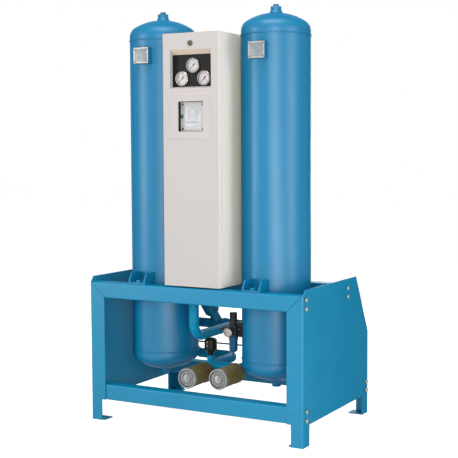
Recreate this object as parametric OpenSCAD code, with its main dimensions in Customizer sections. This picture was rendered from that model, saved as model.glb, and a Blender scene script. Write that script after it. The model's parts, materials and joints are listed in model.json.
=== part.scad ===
// Twin-tower desiccant air dryer: two pressure vessels hung in a folded sheet-steel frame, a control
// cabinet between them, switching valves and pipework behind and below. Millimetres, Z up, the front
// faces -Y, and the origin lies on the floor under the middle of the frame.

/* [Frame] */
// Width over the outer faces of the two side panels
frame_w = 1150; // [1100:5:1300]
// Depth of the side panels
frame_d = 730; // [720:5:800]
// Height of the side panels
panel_h = 700; // [690:5:760]
// Sheet thickness of the panels and rails
sheet_t = 5; // [3:0.5:6]
// Width of the inward front flange of a side panel
flange_w = 82; // [75:1:100]
// Width of the leg faces below the lower rail
leg_w = 60; // [45:1:70]
// Depth of the leg sides and of the foot tabs
leg_d = 65; // [55:1:80]
// Height of the side panel's lower edge between its legs
panel_edge_z = 95; // [60:1:100]
// Length of the level top edge of a side panel
top_edge_d = 580; // [550:5:620]
// Height where the sloping back edge becomes upright
slope_end_z = 415; // [300:5:500]
// Anchor hole in each foot tab
anchor_d = 14; // [10:1:18]

/* [Rails] */
// Height of a cross rail
rail_h = 75; // [74:1:80]
// Depth of a cross rail's flanges
rail_flange = 60; // [56:1:66]
// Height of the upper rails' top face
top_rail_z = 675; // [665:1:680]
// Height of the lower rails' top face
low_rail_z = 177; // [176:1:190]
// Front face of the upper back rail, behind the front of the frame
back_rail_y = 450; // [446:1:465]
// Shank of the frame bolts
bolt_d = 12; // [8:1:12]
// Upright distance between the two bolts of a rail end
bolt_pitch = 40; // [30:1:41]

/* [Vessels] */
// Outer diameter of the vessel shell
vessel_d = 323.9; // [300:0.1:330]
// Wall of the shell and heads
vessel_wall = 8; // [5:0.5:10]
// Clear gap between the two vessels
vessel_gap = 296; // [294:1:310]
// Height of the lower weld seam
shell_z = 335; // [330:1:350]
// Length of the shell between the weld seams
shell_len = 1500; // [1450:10:1600]
// Straight flange of a dished head
head_flange = 20; // [10:1:30]
// Width of a support lug
lug_w = 92; // [80:1:110]
// Height of a support lug
lug_h = 52; // [40:1:60]

/* [Cabinet] */
// Width of the control cabinet
cabinet_w = 300; // [280:1:306]
// Depth of the control cabinet
cabinet_d = 190; // [180:1:194]
// Height of the control cabinet
cabinet_h = 1158; // [1140:1:1180]
// Sheet thickness of the cabinet
cabinet_t = 2; // [1:0.5:3]
// Thickness of the bars that carry the cabinet
bearer_t = 7; // [5:1:10]
// Bezel diameter of a panel gauge
gauge_d = 69; // [60:1:76]
// Depth of the gauge recess behind the cover
recess_d = 26; // [22:1:36]

/* [Pipework] */
// Outer diameter of the main pipes
pipe_d = 48.3; // [42.4:0.1:50]
// Wall of the main pipes
pipe_wall = 2.6; // [2:0.1:4]
// Bend radius of the pipe elbows
bend_r = 57; // [52:1:60]
// Height of the inlet header and of the lower vessel nozzles
inlet_z = 427; // [425:1:440]
// Height of the exhaust pipes
exhaust_z = 268; // [266:1:274]
// Height of the outlet header and of the upper vessel nozzles
outlet_z = 1700; // [1640:10:1760]
// Height of the inlet port
inlet_port_z = 980; // [900:10:1100]
// Distance of the valve rack behind the front of the frame
rack_y = 500; // [495:1:505]
// Muffler diameter
muffler_d = 97; // [80:1:100]
// Muffler length
muffler_len = 165; // [150:1:170]

/* [Hidden] */
$fn = 64;
eps = 0.01;
cut = 1;
fit = 0.2;
weld_r = 2.5;
fold_in = 2;

blue = [0.24, 0.58, 0.76];
white = [0.86, 0.84, 0.83];
black = [0.08, 0.08, 0.09];
steel = [0.75, 0.76, 0.77];
olive = [0.42, 0.35, 0.16];

// Frame
half_w = frame_w / 2;
inner_x = half_w - sheet_t;
fold_r = sheet_t + fold_in;
fold_x = half_w - fold_r;
low_rail_bottom = low_rail_z - rail_h;
top_rail_bottom = top_rail_z - rail_h;
low_back_y = frame_d - sheet_t - rail_flange;
corner_cut_y = 22;
anchor_inset = 35;
mitre_gap = 1;
foot_w = 75;
bolt_sink = 2;
bolt_head_h = 0.65 * bolt_d;
bolt_head_d = 1.75 * bolt_d;
socket_d = 0.7 * bolt_d;
socket_h = 0.35 * bolt_d;
washer_d = 2 * bolt_d;
washer_t = 2.5;
nut_h = 0.8 * bolt_d;
back_bolt_inset = 13;
rail_ys = [0, sheet_t, back_rail_y, low_back_y];
rail_zs = [top_rail_z, low_rail_z, top_rail_z, low_rail_z];
bolt_ys = [rail_flange / 2, sheet_t + rail_flange / 2, back_rail_y + rail_flange / 2,
           frame_d - sheet_t - back_bolt_inset];

// Vessels
vessel_r = vessel_d / 2;
vessel_x = (vessel_gap + vessel_d) / 2;
vessel_y = (back_rail_y + rail_flange) / 2;
shell_top = shell_z + shell_len;
crown_r = 0.8 * vessel_d;
knuckle_r = 0.154 * vessel_d;
crown_drop = sqrt(pow(crown_r - knuckle_r, 2) - pow(vessel_r - knuckle_r, 2));
head_h = crown_r - crown_drop;
head_top = shell_top + head_flange + head_h;
head_bottom = shell_z - head_flange - head_h;
boss_h = 13;
boss_base_d = 68;
boss_sink = 8;
boss_top_d = 51;
boss_bore_d = 38;
plug_flange_d = 53;
plug_flange_h = 15;
plug_top_d = 28;
plug_top_h = 11;
drain_h = 17;
nozzle_len = 26;
lug_t = 8;
lug_y = 12;
lug_cut_y = 20;
lug_cut_z = 28;
lug_bolt_d = 16;
ring_z = shell_z + 30;
ring_h = 8;
ring_w = 14;
screen_t = 6;
screen_hole_d = 12;
bed_end = 45;
plate_w = 82;
plate_h = 73;
plate_t = 1.5;
plate_drop = 117;
plate_z = shell_top - plate_drop;
plate_stand = 28;
bracket_t = 3;
rivet_d = 4;
rivet_inset = 7;

// Cabinet
cabinet_z = top_rail_z + bearer_t;
cabinet_y = 8;
cover_d = 20;
cover_seam = 1;
cover_fold = cabinet_t + fold_in;
cabinet_top = cabinet_z + cabinet_h;
bearer_w = 40;
bearer_x = cabinet_w / 2 - 35;
body_y = cabinet_y + cover_d + cover_seam;
body_d = cabinet_d - cover_d - cover_seam;
body_lip = 18;
keeper_h = 36;
window_w = 218;
window_h = 174;
window_drop = 250;
window_z = cabinet_top - window_drop;
return_d = recess_d - 4;
panel_y = cabinet_y + recess_d;
gauge_panel_t = 3;
panel_fold = 24;
panel_margin = 8;
gauge_top_up = 104;
gauge_low_up = 45;
gauge_top_z = window_z + gauge_top_up;
gauge_low_z = window_z + gauge_low_up;
gauge_side_x = 59;
gauge_places = [[0, gauge_top_z], [-gauge_side_x, gauge_low_z], [gauge_side_x, gauge_low_z]];
frame_plate_w = 220;
frame_plate_h = 200;
frame_plate_t = 2;
frame_plate_drop = 478;
frame_plate_z = cabinet_top - frame_plate_drop;
control_w = 132;
control_h = 136;
control_up = 32;
control_z = frame_plate_z + control_up;
control_d = 60;
control_lid_t = 8;
control_gap = 1;
control_lip = 14;
control_back_t = 3;
control_post_d = 14;
control_set = 16;
control_screw_inset = 13;
control_rim = 16;
control_sunk = 1.2;
control_screw_d = 5;
control_screw_head = 2;
control_screw_len = 12;
control_slot = 1.2;
lock_drop = 48;
lock_z = cabinet_top - lock_drop;
lock_d = 22;
lock_flange_d = 26;
lock_flange_t = 3;
lock_len = 17;
lock_inset = 0.5;
key_slot = [2, 4, 9];
barrel_d = 14;
cam_len = 32;
cam_w = 14;
cam_t = 3;
cam_gap = 0.3;
pilot_block = [36, 50, 170];
pilot_coil = 32;
pilot_neck = 6;
pilot_pitch = 40;
pilot_end = 6;
pilot_set = 50;
pilot_up = 420;

// Gauges
case_depth = 27;
case_wall = 1.5;
bezel_h = 9;
bezel_bevel = 2.5;
stem_d = 12;
stem_len = 22;
stem_hex = 18;
stem_hex_h = 10;
bezel_step = 3;
lip_w = 4;
lip_h = 1.5;
lens_t = 2;
dial_t = 1;
dial_back = 0.5;
dial_hole = 4;
pointer_t = 0.8;
hub_r = 3;
hub_h = 1.6;
hub_gap = 0.4;
pin_h = 4;
tail_w = 2.8;
tip_w = 1;
pin_r = 1.2;

// Pipework
pipe_r = pipe_d / 2;
bore_r = pipe_r - pipe_wall;
riser_x = -60;
inlet_bend_r = 66;
riser_y = 120;
tee_half = 40;
tee_branch = 40;
corner_h = 60;
corner_d = pipe_d + 12;
valve_x = 148;
valve_len = 96;
valve_hex = 22;
valve_bore_len = 30;
valve_d = 57;
neck_d = 50;
neck_len = 62;
actuator_d = 76;
actuator_foot = 8;
actuator_bevel = 6;
actuator_tip_d = 16;
actuator_len = 74;
valve_tilt = 34;
union_d = 66;
union_len = 30;
union_y = vessel_y + vessel_r + nozzle_len;
port_d = 62;
port_len = 50;
thread_d = 44.8;
thread_len = 30;
port_y = rack_y - 30;
exhaust_xs = [-52, 117];
silencer_y = 258;
silencer_z = 262;
silencer_d = 52;
muffler_zs = [243, 255];
muffler_back_y = 205;
muffler_hex_d = 42;
muffler_hex_h = 16;
muffler_bore_r = 12;
muffler_base = 8;
muffler_wall = 4;
muffler_step = 2;
muffler_port_d = 26;
muffler_socket_d = 40;
exhaust_ends = 20;
stub_d = 37;
head_z = 316;
head_d = 62;
head_tall = 84;
head_dome = 15;
head_round = 24;
head_collar = 15;
head_waist = 12;
check_x = 150;
check_len = 84;
check_d = 64;
outlet_y = union_y + bend_r + 12;
outlet_port_len = 86;
purge_d = 21.3;
purge_inset = 26;
purge_x = vessel_x - bend_r - purge_inset;
purge_rise = 62;
purge_valve_d = 34;
purge_valve_len = 40;
purge_stem_d = 18;
purge_stem_h = 36;

// Filter regulator
reg_x = 138;
reg_y = 150;
reg_z = 440;
reg_w = 44;
reg_h = 60;
reg_fillet = 6;
reg_neck_h = 8;
bonnet_h = 10;
spindle_d = 12;
spindle_h = 12;
knob_d = 36;
knob_h = 46;
knob_skirt = 4;
knob_bevel = 3;
knob_gap = 0.3;
grip_d = 3.6;
bowl_d = 40;
bowl_h = 72;
bowl_round = 12;
bowl_ring_h = 14;
bowl_ring_w = 2.5;
bowl_slot = [4, 8];
drain_tip_h = 16;
drain_tip_d = 10;
reg_gauge_d = 45;
reg_gauge_z = reg_z + 27;
reg_stem = 27;
reg_thread_d = 10;
reg_thread_len = 10;
reg_case_depth = 12;
reg_bezel_h = 8;
reg_port_d = 24;
reg_port_len = 14;
reg_bracket_h = 70;
reg_bracket_t = 12;

// Control-air tube
tube_d = 8;
tube_bend_r = 18;
tube_x = 60;
tube_y = rack_y - 50;
tube_z = 337;
gauge_back_y = panel_y + case_depth + stem_len;
gauge_tube_back = 20;
gauge_tube_drop = 160;

// Everything below is drawn with Y counted from the front face of the frame, and moved here.
module in_frame() { translate([0, -frame_d / 2, 0]) children(); }

// A cylinder along X, Y or Z that starts at a point.
module rod_x(p, d, l) { translate(p) rotate([0, 90, 0]) cylinder(d = d, h = l); }
module rod_y(p, d, l) { translate(p) rotate([-90, 0, 0]) cylinder(d = d, h = l); }
module rod_z(p, d, l) { translate(p) cylinder(d = d, h = l); }

// Lengths of hollow pipe along X, Y or Z, and a bend about the local Z axis from its +X to its +Y side.
module pipe_ring() {
    difference() {
        circle(d = pipe_d);
        circle(r = bore_r);
    }
}
module pipe_x(p, l) { translate(p) rotate([0, 90, 0]) linear_extrude(l) pipe_ring(); }
module pipe_y(p, l) { translate(p) rotate([-90, 0, 0]) linear_extrude(l) pipe_ring(); }
module pipe_z(p, l) { translate(p) linear_extrude(l) pipe_ring(); }
module pipe_bend(r = bend_r) { rotate_extrude(angle = 90) translate([r, 0]) pipe_ring(); }

// A sheet edge seen from its end: a rectangle with the two corners at y = 0 folded to a radius.
module folded(w, d, r) {
    translate([-w / 2, r]) square([w, d - r]);
    translate([r - w / 2, 0]) square([w - 2 * r, r + eps]);
    for (s = [-1, 1]) translate([s * (w / 2 - r), r]) circle(r);
}

// A threaded port socket along Y.
module port_socket(p) {
    difference() {
        rod_y(p, port_d, port_len);
        rod_y(p - [0, cut, 0], 2 * bore_r, port_len);
        rod_y(p + [0, port_len - thread_len, 0], thread_d, thread_len + cut);
    }
}

// Side panels: one folded sheet each, with legs, front and back flanges and foot tabs.
module side_outline() {
    polygon([[fold_r, 0], [fold_r, top_rail_z], [corner_cut_y, panel_h], [top_edge_d, panel_h],
             [frame_d, slope_end_z], [frame_d, 0], [frame_d - leg_d, 0], [frame_d - leg_d, panel_edge_z],
             [leg_d, panel_edge_z], [leg_d, 0]]);
}

module front_flange_outline() {
    polygon([[fold_x, 0], [fold_x, top_rail_z], [half_w - flange_w, top_rail_bottom],
             [half_w - flange_w, low_rail_bottom], [half_w - leg_w, low_rail_bottom], [half_w - leg_w, 0]]);
}

// The rounded outer corner between the side of a panel and its front flange.
module front_fold() {
    difference() {
        intersection() {
            circle(fold_r);
            translate([0, -fold_r]) square(fold_r);
        }
        translate([-cut, -fold_in]) square([fold_in + cut, fold_in + cut]);
    }
}

module foot_tab(y, hole_y) {
    difference() {
        translate([half_w - foot_w, y, 0]) cube([foot_w - sheet_t, leg_d - fold_r, sheet_t]);
        rod_z([half_w - foot_w / 2, hole_y, -cut], anchor_d, sheet_t + 2 * cut);
    }
}

module right_panel_sheet() {
    difference() {
        union() {
            translate([inner_x, 0, 0]) rotate([90, 0, 90]) linear_extrude(sheet_t) side_outline();
            translate([0, sheet_t, 0]) rotate([90, 0, 0]) linear_extrude(sheet_t) front_flange_outline();
            translate([fold_x, fold_r, 0]) linear_extrude(top_rail_z) front_fold();
            translate([half_w - leg_w, frame_d - sheet_t, 0])
                cube([leg_w - sheet_t + eps, sheet_t, slope_end_z - sheet_t]);
            foot_tab(fold_r, anchor_inset);
            foot_tab(frame_d - leg_d, frame_d - anchor_inset);
        }
        for (i = [0:3]) bolt_holes(i, inner_x - cut);
    }
}

module left_side_panel() { color(blue) in_frame() mirror([1, 0, 0]) right_panel_sheet(); }
module right_side_panel() { color(blue) in_frame() right_panel_sheet(); }

// Bolt places of rail i, on the right side of the frame.
module at_bolts(i) {
    mid = rail_zs[i] - rail_h / 2 - bolt_sink;
    for (k = [-1, 1]) translate([0, bolt_ys[i], mid + k * bolt_pitch / 2]) children();
}
module bolt_holes(i, x) { at_bolts(i) rod_x([x, 0, 0], bolt_d + 1, 2 * sheet_t + 2 * cut); }

// Cross rails: a channel that opens to the back, closed by a bolted tab at each end.
module rail_outline() { translate([0, -rail_h / 2]) rotate(-90) folded(rail_h, rail_flange, fold_r); }

module rail_profile() {
    difference() {
        rail_outline();
        translate([sheet_t, sheet_t - rail_h]) square([rail_flange, rail_h - 2 * sheet_t]);
    }
}

module rail_tab() {
    translate([inner_x - sheet_t, 0, 0]) rotate([90, 0, 90]) linear_extrude(sheet_t) rail_outline();
}

module rail(i) {
    difference() {
        translate([0, rail_ys[i], rail_zs[i]]) {
            translate([-inner_x, 0, 0]) rotate([90, 0, 90]) linear_extrude(2 * inner_x) rail_profile();
            for (m = [0, 1]) mirror([m, 0, 0]) rail_tab();
        }
        for (m = [0, 1]) mirror([m, 0, 0]) bolt_holes(i, inner_x - sheet_t - cut);
    }
}

module lug_holes(y) {
    for (m = [0, 1]) mirror([m, 0, 0])
        rod_z([vessel_x, y, top_rail_z - sheet_t - cut], lug_bolt_d + 1, sheet_t + 2 * cut);
}

// The corner of the front face below the mitre line, where the panel's flange takes its place.
module mitre_corner() {
    low_x = half_w - flange_w - mitre_gap;
    top_x = fold_x - mitre_gap;
    translate([0, sheet_t, 0]) rotate([90, 0, 0]) linear_extrude(sheet_t + cut)
        polygon([[inner_x + cut, top_rail_z + cut], [top_x, top_rail_z + cut], [top_x, top_rail_z],
                 [low_x, top_rail_bottom], [low_x, top_rail_bottom - cut],
                 [inner_x + cut, top_rail_bottom - cut]]);
}

module front_top_rail() {
    color(blue) in_frame() difference() {
        rail(0);
        for (m = [0, 1]) mirror([m, 0, 0]) mitre_corner();
        lug_holes(rail_flange / 2);
    }
}
module front_lower_rail() { color(blue) in_frame() rail(1); }
module back_top_rail() {
    color(blue) in_frame() difference() {
        rail(2);
        lug_holes(back_rail_y + rail_flange / 2);
    }
}
module back_lower_rail() { color(blue) in_frame() rail(3); }

// Fasteners of the frame: button-head socket screws with washers outside, nuts inside the rail tabs.
module button_head() {
    r = bolt_head_d / 2;
    dome_r = (r * r + bolt_head_h * bolt_head_h) / (2 * bolt_head_h);
    difference() {
        rotate_extrude() intersection() {
            translate([0, bolt_head_h - dome_r]) circle(dome_r, $fn = 128);
            square([r, bolt_head_h]);
        }
        translate([0, 0, bolt_head_h - socket_h]) cylinder(d = socket_d, h = socket_h + cut, $fn = 6);
    }
}

module each_frame_bolt() { for (m = [0, 1], i = [0:3]) mirror([m, 0, 0]) at_bolts(i) children(); }

module frame_bolts() {
    shank = 2 * sheet_t + nut_h + 3;
    nut_x = inner_x - sheet_t - nut_h;
    color(steel) in_frame() each_frame_bolt() {
        rod_x([half_w - shank, 0, 0], bolt_d, shank + eps);
        rod_x([half_w, 0, 0], washer_d, washer_t + eps);
        translate([half_w + washer_t, 0, 0]) rotate([0, 90, 0]) button_head();
        difference() {
            translate([nut_x, 0, 0]) rotate([30, 0, 0]) rotate([0, 90, 0])
                cylinder(d = bolt_head_d, h = nut_h, $fn = 6);
            rod_x([nut_x - cut, 0, 0], bolt_d + 2 * fit, nut_h + 2 * cut);
        }
    }
}

// Pressure vessels. The outline of a dished head is a crown arc that runs into a knuckle arc.
module head_outline(inset) {
    reach = 2 * crown_r;
    kx = vessel_r - knuckle_r;
    intersection() {
        union() {
            intersection() {
                translate([0, -crown_drop]) circle(r = crown_r - inset, $fn = 128);
                translate([0, -crown_drop]) polygon([[0, 0], [kx, crown_drop] * 8, [0, reach]]);
            }
            translate([kx, 0]) circle(r = knuckle_r - inset);
            square([kx, knuckle_r - inset]);
        }
        square([vessel_r, reach]);
    }
}

module vessel_outline(inset) {
    low = shell_z - head_flange;
    translate([0, low]) square([vessel_r - inset, shell_len + 2 * head_flange]);
    translate([0, shell_top + head_flange]) head_outline(inset);
    translate([0, low]) mirror([0, 1]) head_outline(inset);
}

// A support lug: a sheet folded up on both sides, cut off at the front top corners.
module lug() {
    l = vessel_y - lug_y;
    side = [[0, 0], [l, 0], [l, lug_h], [lug_cut_y, lug_h], [0, lug_h - lug_cut_z]];
    translate([0, -l, top_rail_z]) difference() {
        translate([-lug_w / 2, 0, 0]) rotate([90, 0, 90]) linear_extrude(lug_w) polygon(side);
        translate([lug_t - lug_w / 2, -cut, lug_t]) cube([lug_w - 2 * lug_t, l + 2 * cut, lug_h]);
        rod_z([0, rail_flange / 2 - lug_y, -cut], lug_bolt_d + 1, lug_t + 2 * cut);
    }
}

module nozzle(z, d, over) { rod_y([0, 0, z], d, vessel_r + nozzle_len + over); }

// A folded stand-off on the front of the shell that carries the nameplate.
module plate_bracket() {
    l = vessel_r + plate_stand;
    translate([-plate_w / 2, -l, plate_z]) difference() {
        cube([plate_w, l, plate_h]);
        translate([bracket_t, bracket_t, -cut]) cube([plate_w - 2 * bracket_t, l, plate_h + 2 * cut]);
    }
}

module rivet_places() {
    for (x = [-1, 1], z = [0, 1])
        translate([x * (plate_w / 2 - rivet_inset), -vessel_r - plate_stand,
                   plate_z + rivet_inset + z * (plate_h - 2 * rivet_inset)]) children();
}

module vessel() {
    wall_mid = vessel_r - vessel_wall / 2;
    translate([0, vessel_y, 0]) {
        difference() {
            union() {
                rotate_extrude($fn = 128) vessel_outline(0);
                for (z = [shell_z, shell_top]) translate([0, 0, z])
                    rotate_extrude($fn = 128) translate([vessel_r, 0]) circle(weld_r, $fn = 24);
                translate([0, 0, head_top - boss_sink])
                    cylinder(d1 = boss_base_d, d2 = boss_top_d, h = boss_h + boss_sink);
                translate([0, 0, head_bottom - boss_h])
                    cylinder(d1 = boss_top_d, d2 = boss_base_d, h = boss_h + boss_sink);
                for (z = [inlet_z, outlet_z]) nozzle(z, pipe_d, 0);
                difference() {
                    union() {
                        for (m = [0, 1]) mirror([0, m, 0]) lug();
                        plate_bracket();
                    }
                    translate([0, 0, shell_z]) cylinder(r = wall_mid, h = shell_len);
                }
            }
            rotate_extrude($fn = 128) vessel_outline(vessel_wall);
            for (z = [inlet_z, outlet_z]) nozzle(z, 2 * bore_r, cut);
            rod_z([0, 0, head_bottom - boss_h - cut], boss_bore_d, boss_h + 3 * vessel_wall);
            rod_z([0, 0, head_top - 2 * vessel_wall], boss_bore_d, boss_h + 3 * vessel_wall);
            rivet_places() rod_y([0, -cut, 0], rivet_d, bracket_t + 2 * cut);
        }
        translate([0, 0, ring_z]) difference() {
            cylinder(r = wall_mid, h = ring_h);
            translate([0, 0, -cut]) cylinder(r = vessel_r - vessel_wall - ring_w, h = ring_h + 2 * cut);
        }
    }
}

module both_vessels() { for (s = [-1, 1]) translate([s * vessel_x, 0, 0]) children(); }
module left_vessel() { color(blue) in_frame() translate([-vessel_x, 0, 0]) vessel(); }
module right_vessel() { color(blue) in_frame() translate([vessel_x, 0, 0]) vessel(); }

// Desiccant beds between a lower and an upper perforated screen.
bed_r = vessel_r - vessel_wall - 1;
bed_z = ring_z + ring_h + screen_t;
bed_top = shell_top - bed_end;

module bed(s) {
    color("ivory") in_frame() translate([s * vessel_x, vessel_y, bed_z])
        cylinder(r = bed_r, h = bed_top - bed_z, $fn = 128);
}
module left_desiccant() { bed(-1); }
module right_desiccant() { bed(1); }

module screen(z) {
    translate([0, vessel_y, z]) difference() {
        cylinder(r = bed_r, h = screen_t, $fn = 128);
        for (ring = [1, 2], a = [0:30:330])
            rotate(a) translate([ring * bed_r * 0.36, 0, -cut])
                cylinder(d = screen_hole_d, h = screen_t + 2 * cut);
    }
}
module bed_screens() {
    color(steel) in_frame() both_vessels() {
        screen(bed_z - screen_t);
        screen(bed_top);
    }
}

// Screwed plugs in the bosses on the heads.
module fill_plugs() {
    color(blue) in_frame() both_vessels() translate([0, vessel_y, head_top + boss_h]) {
        translate([0, 0, -boss_h - vessel_wall])
            cylinder(d = boss_bore_d - 2 * fit, h = boss_h + vessel_wall + eps);
        cylinder(d = plug_flange_d, h = plug_flange_h, $fn = 8);
        cylinder(d = plug_top_d, h = plug_flange_h + plug_top_h, $fn = 8);
    }
}
module drain_plugs() {
    color(blue) in_frame() both_vessels() translate([0, vessel_y, head_bottom - boss_h]) {
        translate([0, 0, -eps]) cylinder(d = boss_bore_d - 2 * fit, h = boss_h + vessel_wall);
        translate([0, 0, -drain_h]) cylinder(d = boss_top_d - 4, h = drain_h, $fn = 6);
    }
}

// Bare nameplates, riveted to the stand-offs.
module nameplates() {
    color(steel) in_frame() both_vessels() translate([0, vessel_y, 0]) difference() {
        translate([-plate_w / 2, -vessel_r - plate_stand - plate_t, plate_z])
            cube([plate_w, plate_t, plate_h]);
        rivet_places() rod_y([0, -plate_t - cut, 0], rivet_d, plate_t + 2 * cut);
    }
}
module nameplate_rivets() {
    color("rosybrown") in_frame() both_vessels() translate([0, vessel_y, 0]) rivet_places() {
        rod_y([0, -plate_t - eps, 0], rivet_d - 2 * fit, plate_t + bracket_t);
        rod_y([0, -plate_t - rivet_d / 4, 0], 2 * rivet_d, rivet_d / 4);
    }
}

// Bolts that hold the lugs down on the upper rails, each with its nut below the flange.
module lug_bolts() {
    head = 1.75 * lug_bolt_d;
    grip = lug_t + sheet_t;
    below = top_rail_z - sheet_t - nut_h;
    color(steel) in_frame() both_vessels() for (y = [rail_flange / 2, back_rail_y + rail_flange / 2]) {
        rod_z([0, y, below - 3], lug_bolt_d, nut_h + grip + 3 + eps);
        translate([0, y, top_rail_z + lug_t]) cylinder(d = head, h = 0.65 * lug_bolt_d, $fn = 6);
        translate([0, y, below]) difference() {
            cylinder(d = head, h = nut_h, $fn = 6);
            translate([0, 0, -cut]) cylinder(d = lug_bolt_d + 2 * fit, h = nut_h + 2 * cut);
        }
    }
}

// Flat bars across the upper rails that carry the cabinet.
module cabinet_bearers() {
    bearer_y = cabinet_y + cover_d;
    color(blue) in_frame() for (s = [-1, 1])
        translate([s * bearer_x - bearer_w / 2, bearer_y, top_rail_z])
            cube([bearer_w, back_rail_y + rail_flange - bearer_y, bearer_t]);
}

// Cabinet body: a folded sheet box, open to the front below a keeper lip and, inside a rim, to the back.
module cabinet_body() {
    inside = cabinet_w - 2 * cabinet_t;
    color(white) in_frame() difference() {
        translate([-cabinet_w / 2, body_y, cabinet_z]) cube([cabinet_w, body_d, cabinet_h]);
        translate([-inside / 2, body_y - cut, cabinet_z + cabinet_t])
            cube([inside, body_d - cabinet_t + cut, cabinet_h - 2 * cabinet_t]);
        translate([-inside / 2 + body_lip, body_y, cabinet_z + body_lip])
            cube([inside - 2 * body_lip, body_d + cut, cabinet_h - 2 * body_lip]);
        rod_z([riser_x, riser_y, cabinet_z - cut], pipe_d + 12, cabinet_t + 2 * cut);
    }
    color(white) in_frame() translate([-inside / 2, body_y, cabinet_top - keeper_h])
        cube([inside, cabinet_t, keeper_h - cabinet_t]);
}

// Front cover: a tray with a window whose edges are folded in, a cut-out for the controller and a lock hole.
module cover_window(w, h, z, y, d) { translate([-w / 2, y, z]) cube([w, d, h]); }

module cabinet_cover() {
    inside = cabinet_w - 2 * cabinet_t;
    color(white) in_frame() difference() {
        union() {
            difference() {
                translate([0, cabinet_y, cabinet_z])
                    linear_extrude(cabinet_h) folded(cabinet_w, cover_d, cover_fold);
                translate([-inside / 2, cabinet_y + cabinet_t, cabinet_z + cabinet_t])
                    cube([inside, cover_d, cabinet_h - 2 * cabinet_t]);
            }
            cover_window(window_w + 2 * cabinet_t, window_h + 2 * cabinet_t, window_z - cabinet_t,
                         cabinet_y, return_d);
        }
        cover_window(window_w, window_h, window_z, cabinet_y - cut, recess_d + cut);
        cover_window(control_w, control_h, control_z, cabinet_y - cut, cover_d);
        rod_y([0, cabinet_y - cut, lock_z], lock_d + 2 * fit, cabinet_t + 2 * cut);
    }
}

// Cam lock in the cover: a flanged sleeve and a barrel that turns a cam behind the cover.
module lock_housing() {
    front = cabinet_y - lock_flange_t;
    color(steel) in_frame() difference() {
        union() {
            rod_y([0, front, lock_z], lock_flange_d, lock_flange_t);
            rod_y([0, front, lock_z], lock_d, lock_len);
        }
        rod_y([0, front - cut, lock_z], barrel_d + 2 * fit, lock_len + 2 * cut);
    }
}
module lock_barrel() {
    front = cabinet_y - lock_flange_t + lock_inset;
    cam_y = body_y + cabinet_t + cam_gap;
    color([0.45, 0.42, 0.36]) in_frame() difference() {
        union() {
            rod_y([0, front, lock_z], barrel_d, cam_y + cam_t - front);
            translate([-cam_w / 2, cam_y, lock_z - barrel_d / 2]) cube([cam_w, cam_t, cam_len]);
        }
        translate([-key_slot[0] / 2, front - lock_inset, lock_z - key_slot[2] / 2]) cube(key_slot);
    }
}

// Gauge panel: a black plate folded back to the sides of the cabinet body.
module gauge_panel() {
    w = cabinet_w - 2 * cabinet_t - 2 * fit;
    h = window_h + 2 * panel_margin;
    color(black) in_frame() translate([0, 0, -panel_margin]) difference() {
        translate([-w / 2, panel_y, window_z]) cube([w, panel_fold, h]);
        translate([gauge_panel_t - w / 2, panel_y + gauge_panel_t, window_z - cut])
            cube([w - 2 * gauge_panel_t, panel_fold, h + 2 * cut]);
        for (p = gauge_places) rod_y([p[0], panel_y - cut, p[1] + panel_margin],
                                     gauge_d - 2 * bezel_step + 2 * fit, gauge_panel_t + 2 * cut);
    }
}

// Dial gauges, drawn with their front towards +Z and their back face plane at z = 0.
module face_front(x, y, z) { translate([x, y, z]) rotate([90, 0, 0]) children(); }

module gauge_case(d, depth, bezel) {
    r = d / 2 - bezel_step;
    rotate_extrude() difference() {
        union() {
            translate([0, -depth]) square([r, depth + bezel]);
            polygon([[0, 0], [d / 2 - 1, 0], [d / 2, 1], [d / 2, bezel - bezel_bevel],
                     [d / 2 - bezel_bevel, bezel], [0, bezel]]);
        }
        translate([0, dial_back]) square([r - case_wall, bezel - lip_h - dial_back]);
        translate([0, -depth + case_wall]) square([r - case_wall - 4, depth + bezel]);
        translate([0, bezel / 2]) square([r - lip_w, bezel]);
    }
}
// Dial and glass fit the bore of a gauge case whose bezel is d wide.
function glass_d(d) = d - 2 * (bezel_step + case_wall + fit);
module gauge_dial(d) {
    difference() {
        translate([0, 0, dial_back]) cylinder(d = glass_d(d), h = dial_t);
        cylinder(r = pin_r + fit, h = dial_hole);
    }
}
module gauge_lens(d, bezel) {
    translate([0, 0, bezel - lip_h - lens_t]) cylinder(d = glass_d(d), h = lens_t);
}
// The needle points to seven o'clock at rest, the zero of the scale, with a tail behind its hub.
module gauge_pointer(d, length) {
    z0 = dial_back + dial_t + hub_gap;
    tail = 0.28 * length;
    translate([0, 0, z0]) cylinder(r = hub_r, h = hub_h);
    translate([0, 0, z0 - pin_h]) cylinder(r = pin_r, h = pin_h + eps);
    translate([0, 0, z0]) rotate(-45) linear_extrude(pointer_t)
        polygon([[-tail_w / 2, tail], [tail_w / 2, tail], [tip_w / 2, -length], [-tip_w / 2, -length]]);
}

module at_gauges() { for (p = gauge_places) face_front(p[0], panel_y, p[1]) children(); }
pointer_len = 0.36 * gauge_d;
module gauge_cases() {
    color(steel) in_frame() at_gauges() {
        gauge_case(gauge_d, case_depth, bezel_h);
        translate([0, 0, -case_depth - stem_len]) cylinder(d = stem_d, h = stem_len + eps);
        translate([0, 0, -case_depth - stem_hex_h]) cylinder(d = stem_hex, h = stem_hex_h + eps, $fn = 6);
    }
}
module gauge_dials() { color("white") in_frame() at_gauges() gauge_dial(gauge_d); }
module gauge_lenses() { color([0.9, 0.95, 1, 0.3]) in_frame() at_gauges() gauge_lens(gauge_d, bezel_h); }
module panel_pointer(i) {
    color(black) in_frame() face_front(gauge_places[i][0], panel_y, gauge_places[i][1])
        gauge_pointer(gauge_d, pointer_len);
}
module outlet_pointer() { panel_pointer(0); }
module left_pointer() { panel_pointer(1); }
module right_pointer() { panel_pointer(2); }

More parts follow.
